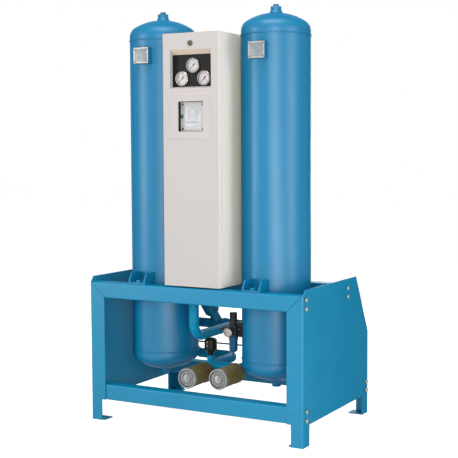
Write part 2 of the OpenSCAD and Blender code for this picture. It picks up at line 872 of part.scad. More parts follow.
// Controller: a frame plate on the cover, a box behind the cut-out and a screwed lid set back in it.
module controller_frame() {
    color(white) in_frame() difference() {
        cover_window(frame_plate_w, frame_plate_h, frame_plate_z, cabinet_y - frame_plate_t, frame_plate_t);
        cover_window(control_w, control_h, control_z, cabinet_y - frame_plate_t - cut,
                     frame_plate_t + 2 * cut);
    }
}
lid_y = cabinet_y + cabinet_t + control_set;
module screw_places() {
    inset = control_screw_inset;
    for (x = [-1, 1], z = [0, 1])
        translate([x * (control_w / 2 - inset), lid_y, control_z + inset + z * (control_h - 2 * inset)])
            children();
}
module controller_box() {
    lip = control_lip;
    back = cabinet_y + cabinet_t;
    post = control_d - control_set - control_lid_t - control_back_t;
    color("gray") in_frame() difference() {
        translate([-control_w / 2 - lip, back, control_z - lip])
            cube([control_w + 2 * lip, control_d, control_h + 2 * lip]);
        translate([control_gap - control_w / 2, back - cut, control_z + control_gap])
            cube([control_w - 2 * control_gap, control_d - control_back_t, control_h - 2 * control_gap]);
    }
    color("gray") in_frame() screw_places() difference() {
        rod_y([0, control_lid_t, 0], control_post_d, post);
        rod_y([0, control_lid_t - cut, 0], control_screw_d, control_screw_len + 4);
    }
}
module controller_lid() {
    g = control_gap + 0.5;
    rim = control_rim + g;
    color("silver") in_frame() difference() {
        translate([g - control_w / 2, lid_y, control_z + g])
            cube([control_w - 2 * g, control_lid_t, control_h - 2 * g]);
        translate([rim - control_w / 2, lid_y - cut, control_z + rim])
            cube([control_w - 2 * rim, control_sunk + cut, control_h - 2 * rim]);
        screw_places() rod_y([0, -cut, 0], control_screw_d, control_lid_t + 2 * cut);
    }
}
module controller_screws() {
    head = 1.8 * control_screw_d;
    color(steel) in_frame() screw_places() {
        difference() {
            rod_y([0, -control_screw_head, 0], head, control_screw_head);
            translate([-head / 2, -control_screw_head - cut, -control_slot / 2])
                cube([head, control_screw_head / 2 + cut, control_slot]);
        }
        rod_y([0, -eps, 0], control_screw_d - 2 * fit, control_lid_t + control_screw_len);
    }
}

// Pilot solenoid valves on a manifold block, screwed to the right side wall inside the cabinet.
module pilot_valves() {
    coil = pilot_coil;
    block_x = cabinet_w / 2 - cabinet_t - pilot_block[0];
    middle = (coil - pilot_neck) / 2;
    color(black) in_frame() translate([block_x, body_y + pilot_set, cabinet_z + pilot_up]) {
        cube(pilot_block);
        for (i = [0:3]) translate([-2 * coil, (pilot_block[1] - coil) / 2, pilot_end + i * pilot_pitch]) {
            cube([2 * coil + eps, 2 * middle, coil]);
            translate([coil, middle, coil / 2]) rotate([0, 90, 0]) cylinder(d = coil - 4, h = coil);
        }
    }
}

// Inlet pipe: back port, a run forward between the vessels, the riser in the cabinet, a run back to the tee.
module inlet_pipe() {
    r = inlet_bend_r;
    low_y = riser_y + r;
    socket_y = port_y - port_len;
    color(blue) in_frame() {
        pipe_y([riser_x, low_y, inlet_z], rack_y - tee_branch - low_y);
        translate([riser_x, low_y, inlet_z + r]) rotate([0, -90, 0]) rotate(180) pipe_bend(r);
        pipe_z([riser_x, riser_y, inlet_z + r], inlet_port_z - inlet_z - 2 * r);
        translate([riser_x, low_y, inlet_port_z - r]) rotate([0, -90, 0]) rotate(-90) pipe_bend(r);
        pipe_y([riser_x, low_y, inlet_port_z], socket_y - low_y);
        port_socket([riser_x, socket_y, inlet_port_z]);
    }
}

// Header piece with the branch to the inlet pipe.
module inlet_tee() {
    left = -valve_x + valve_len / 2;
    l = 2 * valve_x - valve_len;
    color(blue) in_frame() difference() {
        union() {
            rod_x([left, rack_y, inlet_z], pipe_d, l);
            rod_x([riser_x - tee_half, rack_y, inlet_z], valve_d, 2 * tee_half);
            rod_y([riser_x, rack_y - tee_branch, inlet_z], valve_d - 2, tee_branch);
        }
        rod_x([left - cut, rack_y, inlet_z], 2 * bore_r, l + 2 * cut);
        rod_y([riser_x, rack_y - tee_branch - cut, inlet_z], 2 * bore_r - 1, tee_branch + cut);
    }
}

// Angle-seat valves: a body in the header, a slanting neck and a piston actuator on it.
module on_valve_neck(s) {
    translate([s * valve_x, rack_y, inlet_z]) rotate([0, s * valve_tilt, 0]) children();
}
module inlet_valve(s) {
    color(blue) in_frame() difference() {
        union() {
            rod_x([s * valve_x - valve_len / 2, rack_y, inlet_z], valve_d, valve_len);
            for (e = [0, 1])
                translate([s * valve_x - valve_len / 2 + e * (valve_len - valve_hex), rack_y, inlet_z])
                    rotate([0, 90, 0]) cylinder(d = valve_d + 8, h = valve_hex, $fn = 6);
            on_valve_neck(s) cylinder(d = neck_d, h = neck_len);
        }
        for (e = [-1, 1]) translate([s * valve_x + e * valve_len / 2, rack_y, inlet_z])
            rotate([0, e * 90, 0]) translate([0, 0, -valve_bore_len])
                cylinder(r = bore_r, h = valve_bore_len + cut);
    }
}
module inlet_actuator(s) {
    bevel = actuator_bevel;
    top = actuator_foot + actuator_len;
    color(blue) in_frame() on_valve_neck(s) translate([0, 0, neck_len]) {
        cylinder(d = actuator_d - 2 * bevel, h = actuator_foot);
        translate([0, 0, actuator_foot - eps]) cylinder(d = actuator_d, h = actuator_len);
        translate([0, 0, top - eps]) cylinder(d1 = actuator_d, d2 = actuator_d - 2 * bevel, h = bevel);
        translate([0, 0, top + bevel - eps]) cylinder(d = actuator_tip_d, h = bevel);
    }
}
module left_inlet_valve() { inlet_valve(-1); }
module right_inlet_valve() { inlet_valve(1); }
module left_inlet_actuator() { inlet_actuator(-1); }
module right_inlet_actuator() { inlet_actuator(1); }

// Tower pipes: a corner fitting joins a lower vessel nozzle to the inlet header and, below, the exhaust.
module tower_pipe() {
    start = valve_x + valve_len / 2;
    corner_low = inlet_z - corner_h / 2;
    difference() {
        union() {
            rod_x([start, rack_y, inlet_z], pipe_d, vessel_x - start);
            rod_y([vessel_x, union_y, inlet_z], pipe_d, rack_y - union_y);
            rod_z([vessel_x, rack_y, corner_low], corner_d, corner_h);
        }
        rod_x([start - cut, rack_y, inlet_z], 2 * bore_r, vessel_x - start + cut);
        rod_y([vessel_x, union_y - cut, inlet_z], 2 * bore_r, rack_y - union_y + cut);
        rod_z([vessel_x, rack_y, corner_low - cut], 2 * bore_r + 2, corner_h - pipe_wall);
    }
    pipe_z([vessel_x, rack_y, exhaust_z + bend_r], corner_low - exhaust_z - bend_r);
    translate([vessel_x - bend_r, rack_y, exhaust_z + bend_r]) rotate([-90, 0, 0]) pipe_bend();
}
module left_tower_pipe() { color(blue) in_frame() mirror([1, 0, 0]) tower_pipe(); }
module right_tower_pipe() { color(blue) in_frame() tower_pipe(); }

// Exhaust pipes: along the rack, round an elbow and forward to the exhaust valve.
silencer_back = silencer_y + silencer_d / 2;
module exhaust_pipe(s) {
    x = exhaust_xs[s > 0 ? 1 : 0];
    turn = x + s * bend_r;
    start = s * (vessel_x - bend_r);
    color(blue) in_frame() {
        pipe_x([min(turn, start), rack_y, exhaust_z], abs(start - turn));
        translate([turn, rack_y - bend_r, exhaust_z]) rotate(s > 0 ? 90 : 0) pipe_bend();
        pipe_y([x, silencer_back, exhaust_z], rack_y - bend_r - silencer_back);
    }
}
module left_exhaust_pipe() { exhaust_pipe(-1); }
module right_exhaust_pipe() { exhaust_pipe(1); }

// Exhaust change-over valve: a cross body with a socket for each exhaust pipe and each muffler.
module exhaust_valve() {
    left = exhaust_xs[0] - exhaust_ends;
    l = exhaust_xs[1] + exhaust_ends - left;
    socket_y = muffler_back_y + muffler_hex_h;
    color(blue) in_frame() difference() {
        union() {
            rod_x([left, silencer_y, silencer_z], silencer_d, l);
            for (i = [0, 1]) {
                rod_y([exhaust_xs[i], silencer_y, exhaust_z], silencer_d - 4, silencer_d / 2);
                rod_y([exhaust_xs[i], socket_y, muffler_zs[i]], muffler_socket_d, silencer_y - socket_y);
            }
            rod_z([exhaust_xs[0], silencer_y, silencer_z], stub_d, head_z - silencer_z);
        }
        for (i = [0, 1])
            rod_y([exhaust_xs[i], muffler_back_y, muffler_zs[i]], muffler_port_d,
                  silencer_y - muffler_back_y);
    }
}
module exhaust_actuator() {
    r = head_d / 2;
    shoulder = head_tall - head_dome;
    belly = head_waist + head_round;
    color(black) in_frame() translate([exhaust_xs[0], silencer_y, head_z]) rotate_extrude() {
        square([head_collar, belly]);
        intersection() {
            translate([r - head_round, belly]) circle(head_round);
            square([r, belly]);
        }
        translate([0, belly]) square([r, shoulder - belly]);
        intersection() {
            translate([r - head_dome, shoulder]) circle(head_dome);
            translate([0, shoulder]) square([r, head_dome]);
        }
        translate([0, shoulder]) square([r - head_dome, head_dome]);
    }
}

// Exhaust mufflers with their screwed-on end caps.
module at_mufflers() { for (i = [0, 1]) face_front(exhaust_xs[i], muffler_back_y, muffler_zs[i]) children(); }
cap_h = 14;
cap_rim = 7;
cap_sunk = 4;
cap_boss_r = 17;
cap_boss_wall = 5;
cap_dip = 2;
cap_bolt_h = 6;
cap_bevel = 3;
cap_screw_d = 9;
muffler_ring = 26;
module mufflers() {
    r = muffler_d / 2;
    inner_r = r - muffler_step - muffler_wall;
    color(olive) in_frame() at_mufflers() {
        rotate_extrude() difference() {
            square([r - muffler_step, muffler_len - cap_h]);
            translate([0, muffler_base]) square([inner_r, muffler_len]);
            square([muffler_bore_r, muffler_base + cut]);
        }
        rotate_extrude() translate([inner_r, 0]) square([r - inner_r, muffler_ring]);
        difference() {
            translate([0, 0, -muffler_hex_h]) cylinder(d = muffler_hex_d, h = muffler_hex_h + eps, $fn = 6);
            translate([0, 0, -muffler_hex_h - cut]) cylinder(r = muffler_bore_r, h = muffler_hex_h + 2 * cut);
        }
    }
}
module muffler_caps() {
    r = muffler_d / 2;
    color(steel) in_frame() at_mufflers() translate([0, 0, muffler_len - cap_h]) {
        rotate_extrude() difference() {
            polygon([[0, 0], [r, 0], [r, cap_h - cap_bevel], [r - cap_bevel, cap_h], [0, cap_h]]);
            translate([cap_boss_r, cap_h - cap_sunk]) square([r - cap_rim - cap_boss_r, cap_sunk + cut]);
            translate([0, cap_h - cap_dip]) square([cap_boss_r - cap_boss_wall, cap_dip + cut]);
        }
        translate([0, 0, cap_h - cap_dip - eps]) cylinder(d = cap_boss_r, h = cap_bolt_h, $fn = 6);
        for (a = [30:120:270]) rotate(a)
            translate([(r - cap_rim + cap_boss_r) / 2, 0, cap_h - cap_sunk - eps])
                cylinder(d = cap_screw_d, h = cap_sunk, $fn = 6);
    }
}

// Outlet pipes from the upper nozzles to the check valves, and the tee with the outlet port.
module outlet_leg() {
    check_end = check_x + check_len / 2;
    pipe_y([vessel_x, union_y, outlet_z], outlet_y - bend_r - union_y);
    translate([vessel_x - bend_r, outlet_y - bend_r, outlet_z]) pipe_bend();
    pipe_x([check_end, outlet_y, outlet_z], vessel_x - bend_r - check_end);
}
module outlet_pipes() {
    l = 2 * check_x - check_len;
    color(blue) in_frame() {
        for (m = [0, 1]) mirror([m, 0, 0]) outlet_leg();
        difference() {
            union() {
                rod_x([-l / 2, outlet_y, outlet_z], pipe_d, l);
                rod_x([-tee_half, outlet_y, outlet_z], valve_d, 2 * tee_half);
                rod_y([0, outlet_y, outlet_z], port_d - 8, outlet_port_len - port_len);
            }
            rod_x([-l / 2 - cut, outlet_y, outlet_z], 2 * bore_r, l + 2 * cut);
            rod_y([0, outlet_y, outlet_z], 2 * bore_r - 1, outlet_port_len);
        }
        port_socket([0, outlet_y + outlet_port_len - port_len, outlet_z]);
    }
}
module check_valves() {
    hex = 24;
    color(blue) in_frame() for (m = [0, 1]) mirror([m, 0, 0]) difference() {
        translate([check_x - check_len / 2, outlet_y, outlet_z]) rotate([0, 90, 0]) {
            cylinder(d = check_d, h = hex, $fn = 6);
            cylinder(d = check_d - 8, h = check_len);
            translate([0, 0, check_len - hex]) cylinder(d = check_d, h = hex, $fn = 6);
        }
        rod_x([check_x - check_len / 2 - cut, outlet_y, outlet_z], 2 * bore_r, check_len + 2 * cut);
    }
}

// Purge line: a thin pipe that bridges the check valves, with a throttle valve in its middle.
module purge_line() {
    x = purge_x;
    z = outlet_z + purge_rise;
    color(blue) in_frame() difference() {
        union() {
            for (m = [0, 1]) mirror([m, 0, 0]) {
                rod_z([x, outlet_y, outlet_z], purge_d, purge_rise);
                translate([x, outlet_y, z]) sphere(d = purge_d);
            }
            rod_x([-x, outlet_y, z], purge_d, 2 * x);
            translate([-purge_valve_len / 2, outlet_y, z]) rotate([0, 90, 0])
                cylinder(d = purge_valve_d, h = purge_valve_len, $fn = 6);
            rod_z([0, outlet_y, z], purge_stem_d, purge_stem_h);
        }
        rod_x([-vessel_x, outlet_y, outlet_z], pipe_d + 2 * fit, 2 * vessel_x);
    }
}

// Union nuts over the joints between the vessel nozzles and the pipes.
module pipe_unions() {
    color(blue) in_frame() both_vessels() for (z = [inlet_z, outlet_z])
        translate([0, union_y - union_len / 2, z]) rotate([-90, 0, 0]) difference() {
            cylinder(d = union_d, h = union_len, $fn = 8);
            translate([0, 0, -cut]) cylinder(d = pipe_d + 2 * fit, h = union_len + 2 * cut);
        }
}

// Filter regulator on a bracket beside the right vessel.
module rounded_square(w, r) {
    square([w, w - 2 * r], center = true);
    square([w - 2 * r, w], center = true);
    for (x = [-1, 1], y = [-1, 1]) translate([x, y] * (w / 2 - r)) circle(r);
}
module regulator_body() {
    top = reg_h + reg_neck_h;
    color(black) in_frame() translate([reg_x, reg_y, reg_z]) difference() {
        union() {
            linear_extrude(reg_h - bonnet_h) rounded_square(reg_w, reg_fillet);
            translate([0, 0, reg_h - bonnet_h - eps]) cylinder(d1 = reg_w, d2 = knob_d, h = bonnet_h + eps);
            rod_z([0, 0, reg_h - eps], knob_d - 6, reg_neck_h);
            rod_x([-reg_w / 2 - reg_port_len, 0, reg_h / 2], reg_port_d, reg_w + reg_port_len);
        }
        rod_z([0, 0, top - spindle_h - reg_neck_h], spindle_d + 2 * fit, spindle_h + reg_neck_h + cut);
        rod_y([0, -reg_w / 2 - cut, reg_gauge_z - reg_z], reg_thread_d + 2 * fit, reg_thread_len + 2 + cut);
        rod_x([-reg_w / 2 - reg_port_len - cut, 0, reg_h / 2], reg_port_d / 2, reg_port_len + 5);
    }
}
module regulator_knob() {
    rim_h = knob_h - knob_bevel;
    foot_h = 2 * knob_skirt;
    color(black) in_frame() translate([reg_x, reg_y, reg_z + reg_h + reg_neck_h + knob_gap]) difference() {
        union() {
            cylinder(d1 = knob_d + knob_skirt, d2 = knob_d, h = foot_h);
            cylinder(d = knob_d, h = rim_h);
            translate([0, 0, rim_h - eps])
                cylinder(d1 = knob_d, d2 = knob_d - 2 * knob_bevel, h = knob_bevel);
            translate([0, 0, -spindle_h]) cylinder(d = spindle_d, h = spindle_h + eps);
        }
        for (a = [0:20:340]) rotate(a) translate([(knob_d + grip_d / 2) / 2, 0, foot_h + 2])
            cylinder(d = grip_d, h = knob_h);
    }
}
module filter_bowl() {
    r = bowl_d / 2;
    color([0.12, 0.22, 0.4]) in_frame() translate([reg_x, reg_y, reg_z - bowl_h]) {
        difference() {
            rotate_extrude() intersection() {
                union() {
                    translate([0, bowl_round]) square([r, bowl_h - bowl_round]);
                    translate([r - bowl_round, bowl_round]) circle(bowl_round);
                    square([r - bowl_round, bowl_round + cut]);
                }
                square([r, bowl_h]);
            }
            for (a = [45:90:315]) rotate(a)
                translate([r - bowl_slot[0] / 2, -bowl_slot[1] / 2, bowl_round + 4])
                    cube([bowl_slot[0], bowl_slot[1], bowl_h - bowl_ring_h - bowl_round - 10]);
        }
        rod_z([0, 0, bowl_h - bowl_ring_h], bowl_d + 2 * bowl_ring_w, bowl_ring_h);
        rod_z([0, 0, -drain_tip_h], drain_tip_d, drain_tip_h + eps);
    }
}
module regulator_bracket() {
    color(blue) in_frame() difference() {
        translate([reg_x + reg_w / 2, reg_y - reg_bracket_t / 2, reg_z + cut])
            cube([vessel_r / 2, reg_bracket_t, reg_bracket_h]);
        rod_z([vessel_x, vessel_y, reg_z], vessel_d + 2 * fit, reg_bracket_h + 2 * cut);
    }
}
reg_face_y = reg_y - reg_w / 2 - reg_stem;
module regulator_gauge() {
    color(steel) in_frame() {
        face_front(reg_x, reg_face_y, reg_gauge_z) {
            gauge_case(reg_gauge_d, reg_case_depth, reg_bezel_h);
            translate([0, 0, -reg_stem - reg_thread_len])
                cylinder(d = reg_thread_d, h = reg_stem + reg_thread_len - reg_case_depth + eps);
        }
        face_front(reg_x, reg_face_y, reg_gauge_z) gauge_dial(reg_gauge_d);
    }
}
module regulator_pointer() {
    color(black) in_frame() face_front(reg_x, reg_face_y, reg_gauge_z)
        gauge_pointer(reg_gauge_d, 0.34 * reg_gauge_d);
}
module regulator_lens() {
    color([0.9, 0.95, 1, 0.3]) in_frame() face_front(reg_x, reg_face_y, reg_gauge_z)
        gauge_lens(reg_gauge_d, reg_bezel_h);
}

// Tubes: control air from the left tower pipe, along the rack and forward to the regulator's port, and from
// each panel gauge to the pipe whose pressure it shows.
module tube_bend() { rotate_extrude(angle = 90) translate([tube_bend_r, 0]) circle(d = tube_d); }
module gauge_tube_lead(x, z) {
    r = tube_bend_r;
    y = gauge_back_y + gauge_tube_back + r;
    low_z = z - gauge_tube_drop;
    rod_y([x, gauge_back_y, z], tube_d, gauge_tube_back);
    translate([x, y - r, z - r]) rotate([0, -90, 0]) tube_bend();
    rod_z([x, y, low_z + r], tube_d, gauge_tube_drop - 2 * r);
    translate([x, y + r, low_z + r]) rotate([180, 0, 0]) rotate([0, -90, 0]) tube_bend();
    rod_y([x, y + r, low_z], tube_d, outlet_y - y - 2 * r);
}
module outlet_gauge_tube() {
    r = tube_bend_r;
    low_z = gauge_top_z - gauge_tube_drop;
    gauge_tube_lead(0, gauge_top_z);
    translate([0, outlet_y - r, low_z + r]) rotate([0, 90, 0]) tube_bend();
    rod_z([0, outlet_y, low_z + r], tube_d, outlet_z - valve_d / 2 - fit - low_z - r);
}
module tower_gauge_tube() {
    r = tube_bend_r;
    low_z = gauge_low_z - gauge_tube_drop;
    gauge_tube_lead(gauge_side_x, gauge_low_z);
    translate([gauge_side_x + r, outlet_y - r, low_z]) rotate(90) tube_bend();
    rod_x([gauge_side_x + r, outlet_y, low_z], tube_d, purge_x - gauge_side_x - 2 * r);
    translate([purge_x - r, outlet_y, low_z + r]) rotate([90, 0, 0]) rotate(-90) tube_bend();
    rod_z([purge_x, outlet_y, low_z + r], tube_d, outlet_z - pipe_r - fit - low_z - r);
}
module control_tube() {
    r = tube_bend_r;
    port_x = reg_x - reg_w / 2 - reg_port_len;
    port_z = reg_z + reg_h / 2;
    end_y = rack_y - pipe_r;
    color(black) in_frame() {
        rod_x([tube_x + r, reg_y, port_z], tube_d, port_x - tube_x - r);
        translate([tube_x + r, reg_y + r, port_z]) rotate(180) tube_bend();
        rod_y([tube_x, reg_y + r, port_z], tube_d, tube_y - reg_y - 2 * r);
        translate([tube_x, tube_y - r, port_z - r]) rotate([0, -90, 0]) tube_bend();
        rod_z([tube_x, tube_y, tube_z + r], tube_d, port_z - tube_z - 2 * r);
        translate([tube_x - r, tube_y, tube_z + r]) rotate([-90, 0, 0]) tube_bend();
        rod_x([r - vessel_x, tube_y, tube_z], tube_d, tube_x + vessel_x - 2 * r);
        translate([r - vessel_x, tube_y + r, tube_z]) rotate(180) tube_bend();
        rod_y([-vessel_x, tube_y + r, tube_z], tube_d, end_y - tube_y - r);
        outlet_gauge_tube();
        for (m = [0, 1]) mirror([m, 0, 0]) tower_gauge_tube();
    }
}

left_side_panel();
right_side_panel();
front_top_rail();
front_lower_rail();
back_top_rail();
back_lower_rail();
frame_bolts();
left_vessel();
right_vessel();
left_desiccant();
right_desiccant();
bed_screens();
fill_plugs();
drain_plugs();
nameplates();
nameplate_rivets();
lug_bolts();
cabinet_bearers();
cabinet_body();
cabinet_cover();
lock_housing();
lock_barrel();
gauge_panel();
gauge_cases();
gauge_dials();
gauge_lenses();
outlet_pointer();
left_pointer();
right_pointer();
controller_frame();
controller_box();
controller_lid();
controller_screws();
pilot_valves();
inlet_pipe();
inlet_tee();
left_inlet_valve();
right_inlet_valve();
left_inlet_actuator();
right_inlet_actuator();
left_tower_pipe();
right_tower_pipe();
left_exhaust_pipe();
right_exhaust_pipe();
exhaust_valve();
exhaust_actuator();
mufflers();
muffler_caps();
outlet_pipes();
check_valves();
purge_line();
pipe_unions();
regulator_body();
regulator_knob();
filter_bowl();
regulator_bracket();
regulator_gauge();
regulator_pointer();
regulator_lens();
control_tube();
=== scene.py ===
"""Looks of a twin-tower desiccant air dryer: paints, metals, prints and small trim on its solids."""
import json
import math

import bmesh
import bpy
from mathutils import Matrix, Vector


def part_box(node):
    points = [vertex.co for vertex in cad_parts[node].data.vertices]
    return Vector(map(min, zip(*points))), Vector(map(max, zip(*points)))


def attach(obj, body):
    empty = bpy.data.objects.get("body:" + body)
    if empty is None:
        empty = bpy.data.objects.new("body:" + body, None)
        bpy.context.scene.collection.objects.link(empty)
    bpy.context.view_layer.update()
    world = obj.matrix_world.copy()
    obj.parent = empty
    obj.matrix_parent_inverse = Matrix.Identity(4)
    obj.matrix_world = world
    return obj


MM = 0.001
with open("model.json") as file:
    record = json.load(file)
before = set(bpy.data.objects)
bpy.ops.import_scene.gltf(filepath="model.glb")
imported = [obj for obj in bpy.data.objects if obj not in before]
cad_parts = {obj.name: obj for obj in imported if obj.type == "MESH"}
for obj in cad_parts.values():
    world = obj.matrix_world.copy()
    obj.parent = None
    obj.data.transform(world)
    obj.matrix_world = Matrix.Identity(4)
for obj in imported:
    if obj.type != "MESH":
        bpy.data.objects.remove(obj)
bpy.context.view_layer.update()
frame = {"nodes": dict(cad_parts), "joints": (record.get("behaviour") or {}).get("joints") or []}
nodes = frame["nodes"]
ROOT = "frame"

# Camera, fitted to the corners of the frame in the photograph, whose side is IMAGE_PX pixels.
IMAGE_PX = 458
FOCAL_PX = 1027.35
CENTRE_PX = (290.3, 225.9)
CAMERA_AT = (2.530, -4.334, 1.301)
CAMERA_PITCH = math.radians(4.118)
CAMERA_YAW = math.radians(26.945)
CAMERA_REACH = 100
SENSOR_MM = 36.0

# Studio: lamps in metres and watts, strengths of the white surroundings, and the floor.
LAMPS = {
    "left_softbox": {"at": (-2.75, -2.85, 1.5), "target": (0, 0, 1.0), "size": (1.0, 2.3), "watts": 66},
    "front_softbox": {"at": (1.7, -3.45, 1.5), "target": (0, 0, 1.0), "size": (1.4, 2.3), "watts": 56},
    "right_softbox": {"at": (3.1, -0.65, 1.4), "target": (0.1, 0, 1.0), "size": (1.2, 2.3), "watts": 37},
    "low_softbox": {"at": (2.2, -2.6, 0.4), "target": (-0.2, 0, 0.4), "size": (1.6, 0.5), "watts": 17},
    "top_softbox": {"at": (0.3, -1.0, 4.2), "target": (0, 0, 0.9), "size": (2.0, 2.0), "watts": 70},
    "back_softbox": {"at": (-0.7, 3.6, 1.8), "target": (0, 0, 1.0), "size": (1.6, 2.3), "watts": 85},
}
AMBIENT = 0.27
BACKGROUND = 1.0
FLOOR_HALF = 30.0
FLOOR_GREY = 0.55
FLOOR_GLOW = 0.85

# Colours, linear.
WHITE = (1, 1, 1)
BLUE = (0.003, 0.203, 0.364)
# Painted shade: the vessels' blue is a darker copy of the frame's blue, standing for the deeper shade at
# the vessels' edges.
VESSEL_SHADED_BLUE = (0.002, 0.163, 0.322)
# Lit and shaded copies of the cabinet's one white paint: the front is painted darker and the sides lighter,
# standing for how the light falls on them.
FRONT_SHADED_WHITE = (0.500, 0.470, 0.461)
SIDE_LIT_WHITE = (0.765, 0.705, 0.630)
# Painted shade: a tan towards the back edge of the cabinet's side, where the right vessel shades it.
SIDE_SHADE_TAN = (0.930, 0.770, 0.560)
# Painted shade: the tan of the white reveals round the cabinet's windows, which lie in shade.
REVEAL_SHADE_TAN = (0.680, 0.565, 0.450)
BLACK = (0.012, 0.012, 0.013)
OLIVE = (0.150, 0.112, 0.034)
OLIVE_DARK = (0.045, 0.037, 0.020)

# Directions that new pieces face.
FRONT = Vector((0, -1, 0))
BACK = Vector((0, 1, 0))
RIGHT = Vector((1, 0, 0))
UP = Vector((0, 0, 1))
DOWN = Vector((0, 0, -1))


# Shader nodes.

def larger(tree, first, second):
    """The larger of two values."""
    node = tree.nodes.new("ShaderNodeMath")
    node.operation = "MAXIMUM"
    tree.links.new(first, node.inputs[0])
    tree.links.new(second, node.inputs[1])
    return node.outputs[0]


def map_range(tree, value, start, end, low, high):
    """Goes from low to high as the value goes from start to end."""
    node = tree.nodes.new("ShaderNodeMapRange")
    node.inputs["From Min"].default_value = start
    node.inputs["From Max"].default_value = end
    node.inputs["To Min"].default_value = low
    node.inputs["To Max"].default_value = high
    tree.links.new(value, node.inputs["Value"])
    return node.outputs["Result"]


def background_ray(tree):
    """1 where the background is seen directly or in a mirror or glass, else 0."""
    path = tree.nodes.new("ShaderNodeLightPath")
    seen = larger(tree, path.outputs["Is Camera Ray"], path.outputs["Is Glossy Ray"])
    return larger(tree, seen, path.outputs["Is Transmission Ray"])


def object_noise(tree, scale, detail=2.0, stretch=(1, 1, 1)):
    coords = tree.nodes.new("ShaderNodeTexCoord")
    mapping = tree.nodes.new("ShaderNodeMapping")
    mapping.inputs["Scale"].default_value = stretch
    noise = tree.nodes.new("ShaderNodeTexNoise")
    noise.inputs["Scale"].default_value = scale
    noise.inputs["Detail"].default_value = detail
    tree.links.new(coords.outputs["Object"], mapping.inputs["Vector"])
    tree.links.new(mapping.outputs["Vector"], noise.inputs["Vector"])
    return noise.outputs["Fac"]


def object_axis(tree, axis, start, end):
    """0 to 1 as the place along one axis goes from start to end."""
    coords = tree.nodes.new("ShaderNodeTexCoord")
    split = tree.nodes.new("ShaderNodeSeparateXYZ")
    tree.links.new(coords.outputs["Object"], split.inputs["Vector"])
    return map_range(tree, split.outputs[axis], start, end, 0, 1)


def two_tones(tree, factor, start, end, low_colour, high_colour):
    """A colour that goes from one tone to the other as the factor goes from start to end."""
    ramp = tree.nodes.new("ShaderNodeValToRGB")
    low, high = ramp.color_ramp.elements
    low.position, high.position = start, end
    low.color = (*low_colour, 1)
    high.color = (*high_colour, 1)
    tree.links.new(factor, ramp.inputs["Fac"])
    return ramp.outputs["Color"]


def blend_colours(tree, factor, first, second):
    mix = tree.nodes.new("ShaderNodeMix")
    mix.data_type = "RGBA"
    tree.links.new(factor, mix.inputs["Factor"])
    tree.links.new(first, mix.inputs["A"])
    tree.links.new(second, mix.inputs["B"])
    return mix.outputs["Result"]


# Stage: camera, lamps, world and floor.

def add_camera():
    data = bpy.data.cameras.new("camera")
    data.sensor_width = SENSOR_MM
    data.lens = SENSOR_MM * FOCAL_PX / IMAGE_PX
    data.shift_x = 0.5 - CENTRE_PX[0] / IMAGE_PX
    data.shift_y = CENTRE_PX[1] / IMAGE_PX - 0.5
    data.clip_end = CAMERA_REACH
    camera = bpy.data.objects.new("camera", data)
    camera.location = CAMERA_AT
    camera.rotation_euler = (math.pi / 2 - CAMERA_PITCH, 0, CAMERA_YAW)
    bpy.context.scene.collection.objects.link(camera)
    bpy.context.scene.camera = camera


def add_lamp(name, at, target, size, watts):
    """A soft rectangular lamp that faces its target."""
    data = bpy.data.lights.new(name, "AREA")
    data.shape = "RECTANGLE"
    data.size, data.size_y = size
    data.energy = watts
    lamp = bpy.data.objects.new(name, data)
    lamp.location = at
    lamp.rotation_euler = (Vector(target) - Vector(at)).to_track_quat("-Z", "Y").to_euler()
    bpy.context.scene.collection.objects.link(lamp)


def add_world():
    """White surroundings that light the object softly and are seen as plain white."""
    world = bpy.data.worlds.new("studio")
    bpy.context.scene.world = world
    world.use_nodes = True
    tree = world.node_tree
    background = tree.nodes["Background"]
    background.inputs["Color"].default_value = (*WHITE, 1)
    strength = map_range(tree, background_ray(tree), 0, 1, AMBIENT, BACKGROUND)
    tree.links.new(strength, background.inputs["Strength"])


def floor_material():
    """A matt floor that glows to near white where it is seen and keeps the object's shadow."""
    material = bpy.data.materials.new("floor")
    material.use_nodes = True
    tree = material.node_tree
    bsdf = tree.nodes["Principled BSDF"]
    bsdf.inputs["Base Color"].default_value = (FLOOR_GREY, FLOOR_GREY, FLOOR_GREY, 1)
    bsdf.inputs["Roughness"].default_value = 0.9
    bsdf.inputs["Specular IOR Level"].default_value = 0.0
    bsdf.inputs["Emission Color"].default_value = (*WHITE, 1)
    glow = map_range(tree, background_ray(tree), 0, 1, 0, FLOOR_GLOW)
    tree.links.new(glow, bsdf.inputs["Emission Strength"])
    return material


def add_floor():
    bm = bmesh.new()
    bmesh.ops.create_grid(bm, x_segments=1, y_segments=1, size=FLOOR_HALF)
    mesh = bpy.data.meshes.new("floor")
    bm.to_mesh(mesh)
    bm.free()
    mesh.materials.append(floor_material())
    floor = bpy.data.objects.new("floor", mesh)
    bpy.context.scene.collection.objects.link(floor)


# Finishes.

FINISHES = {}


def new_finish(name, colour, rough, metallic=0.0):
    """A new material, kept in FINISHES under its name."""
    material = bpy.data.materials.new(name)
    material.use_nodes = True
    bsdf = material.node_tree.nodes["Principled BSDF"]
    bsdf.inputs["Base Color"].default_value = (*colour, 1)
    bsdf.inputs["Roughness"].default_value = rough
    bsdf.inputs["Metallic"].default_value = metallic
    FINISHES[name] = material
    return material.node_tree, bsdf


def lighter(colour, share):
    """A colour made lighter by a share of itself, or darker by a negative share."""
    return tuple(min(1.0, c * (1 + share)) for c in colour)


def vary_colour(tree, bsdf, colour, spread, scale):
    """The base colour drifts a little lighter and darker across the surface."""
    tone = two_tones(tree, object_noise(tree, scale, detail=3.0), 0.3, 0.7,
                     lighter(colour, -spread), lighter(colour, spread))
    tree.links.new(tone, bsdf.inputs["Base Color"])


def vary_roughness(tree, bsdf, low, high, scale):
    rough = map_range(tree, object_noise(tree, scale), 0, 1, low, high)
    tree.links.new(rough, bsdf.inputs["Roughness"])


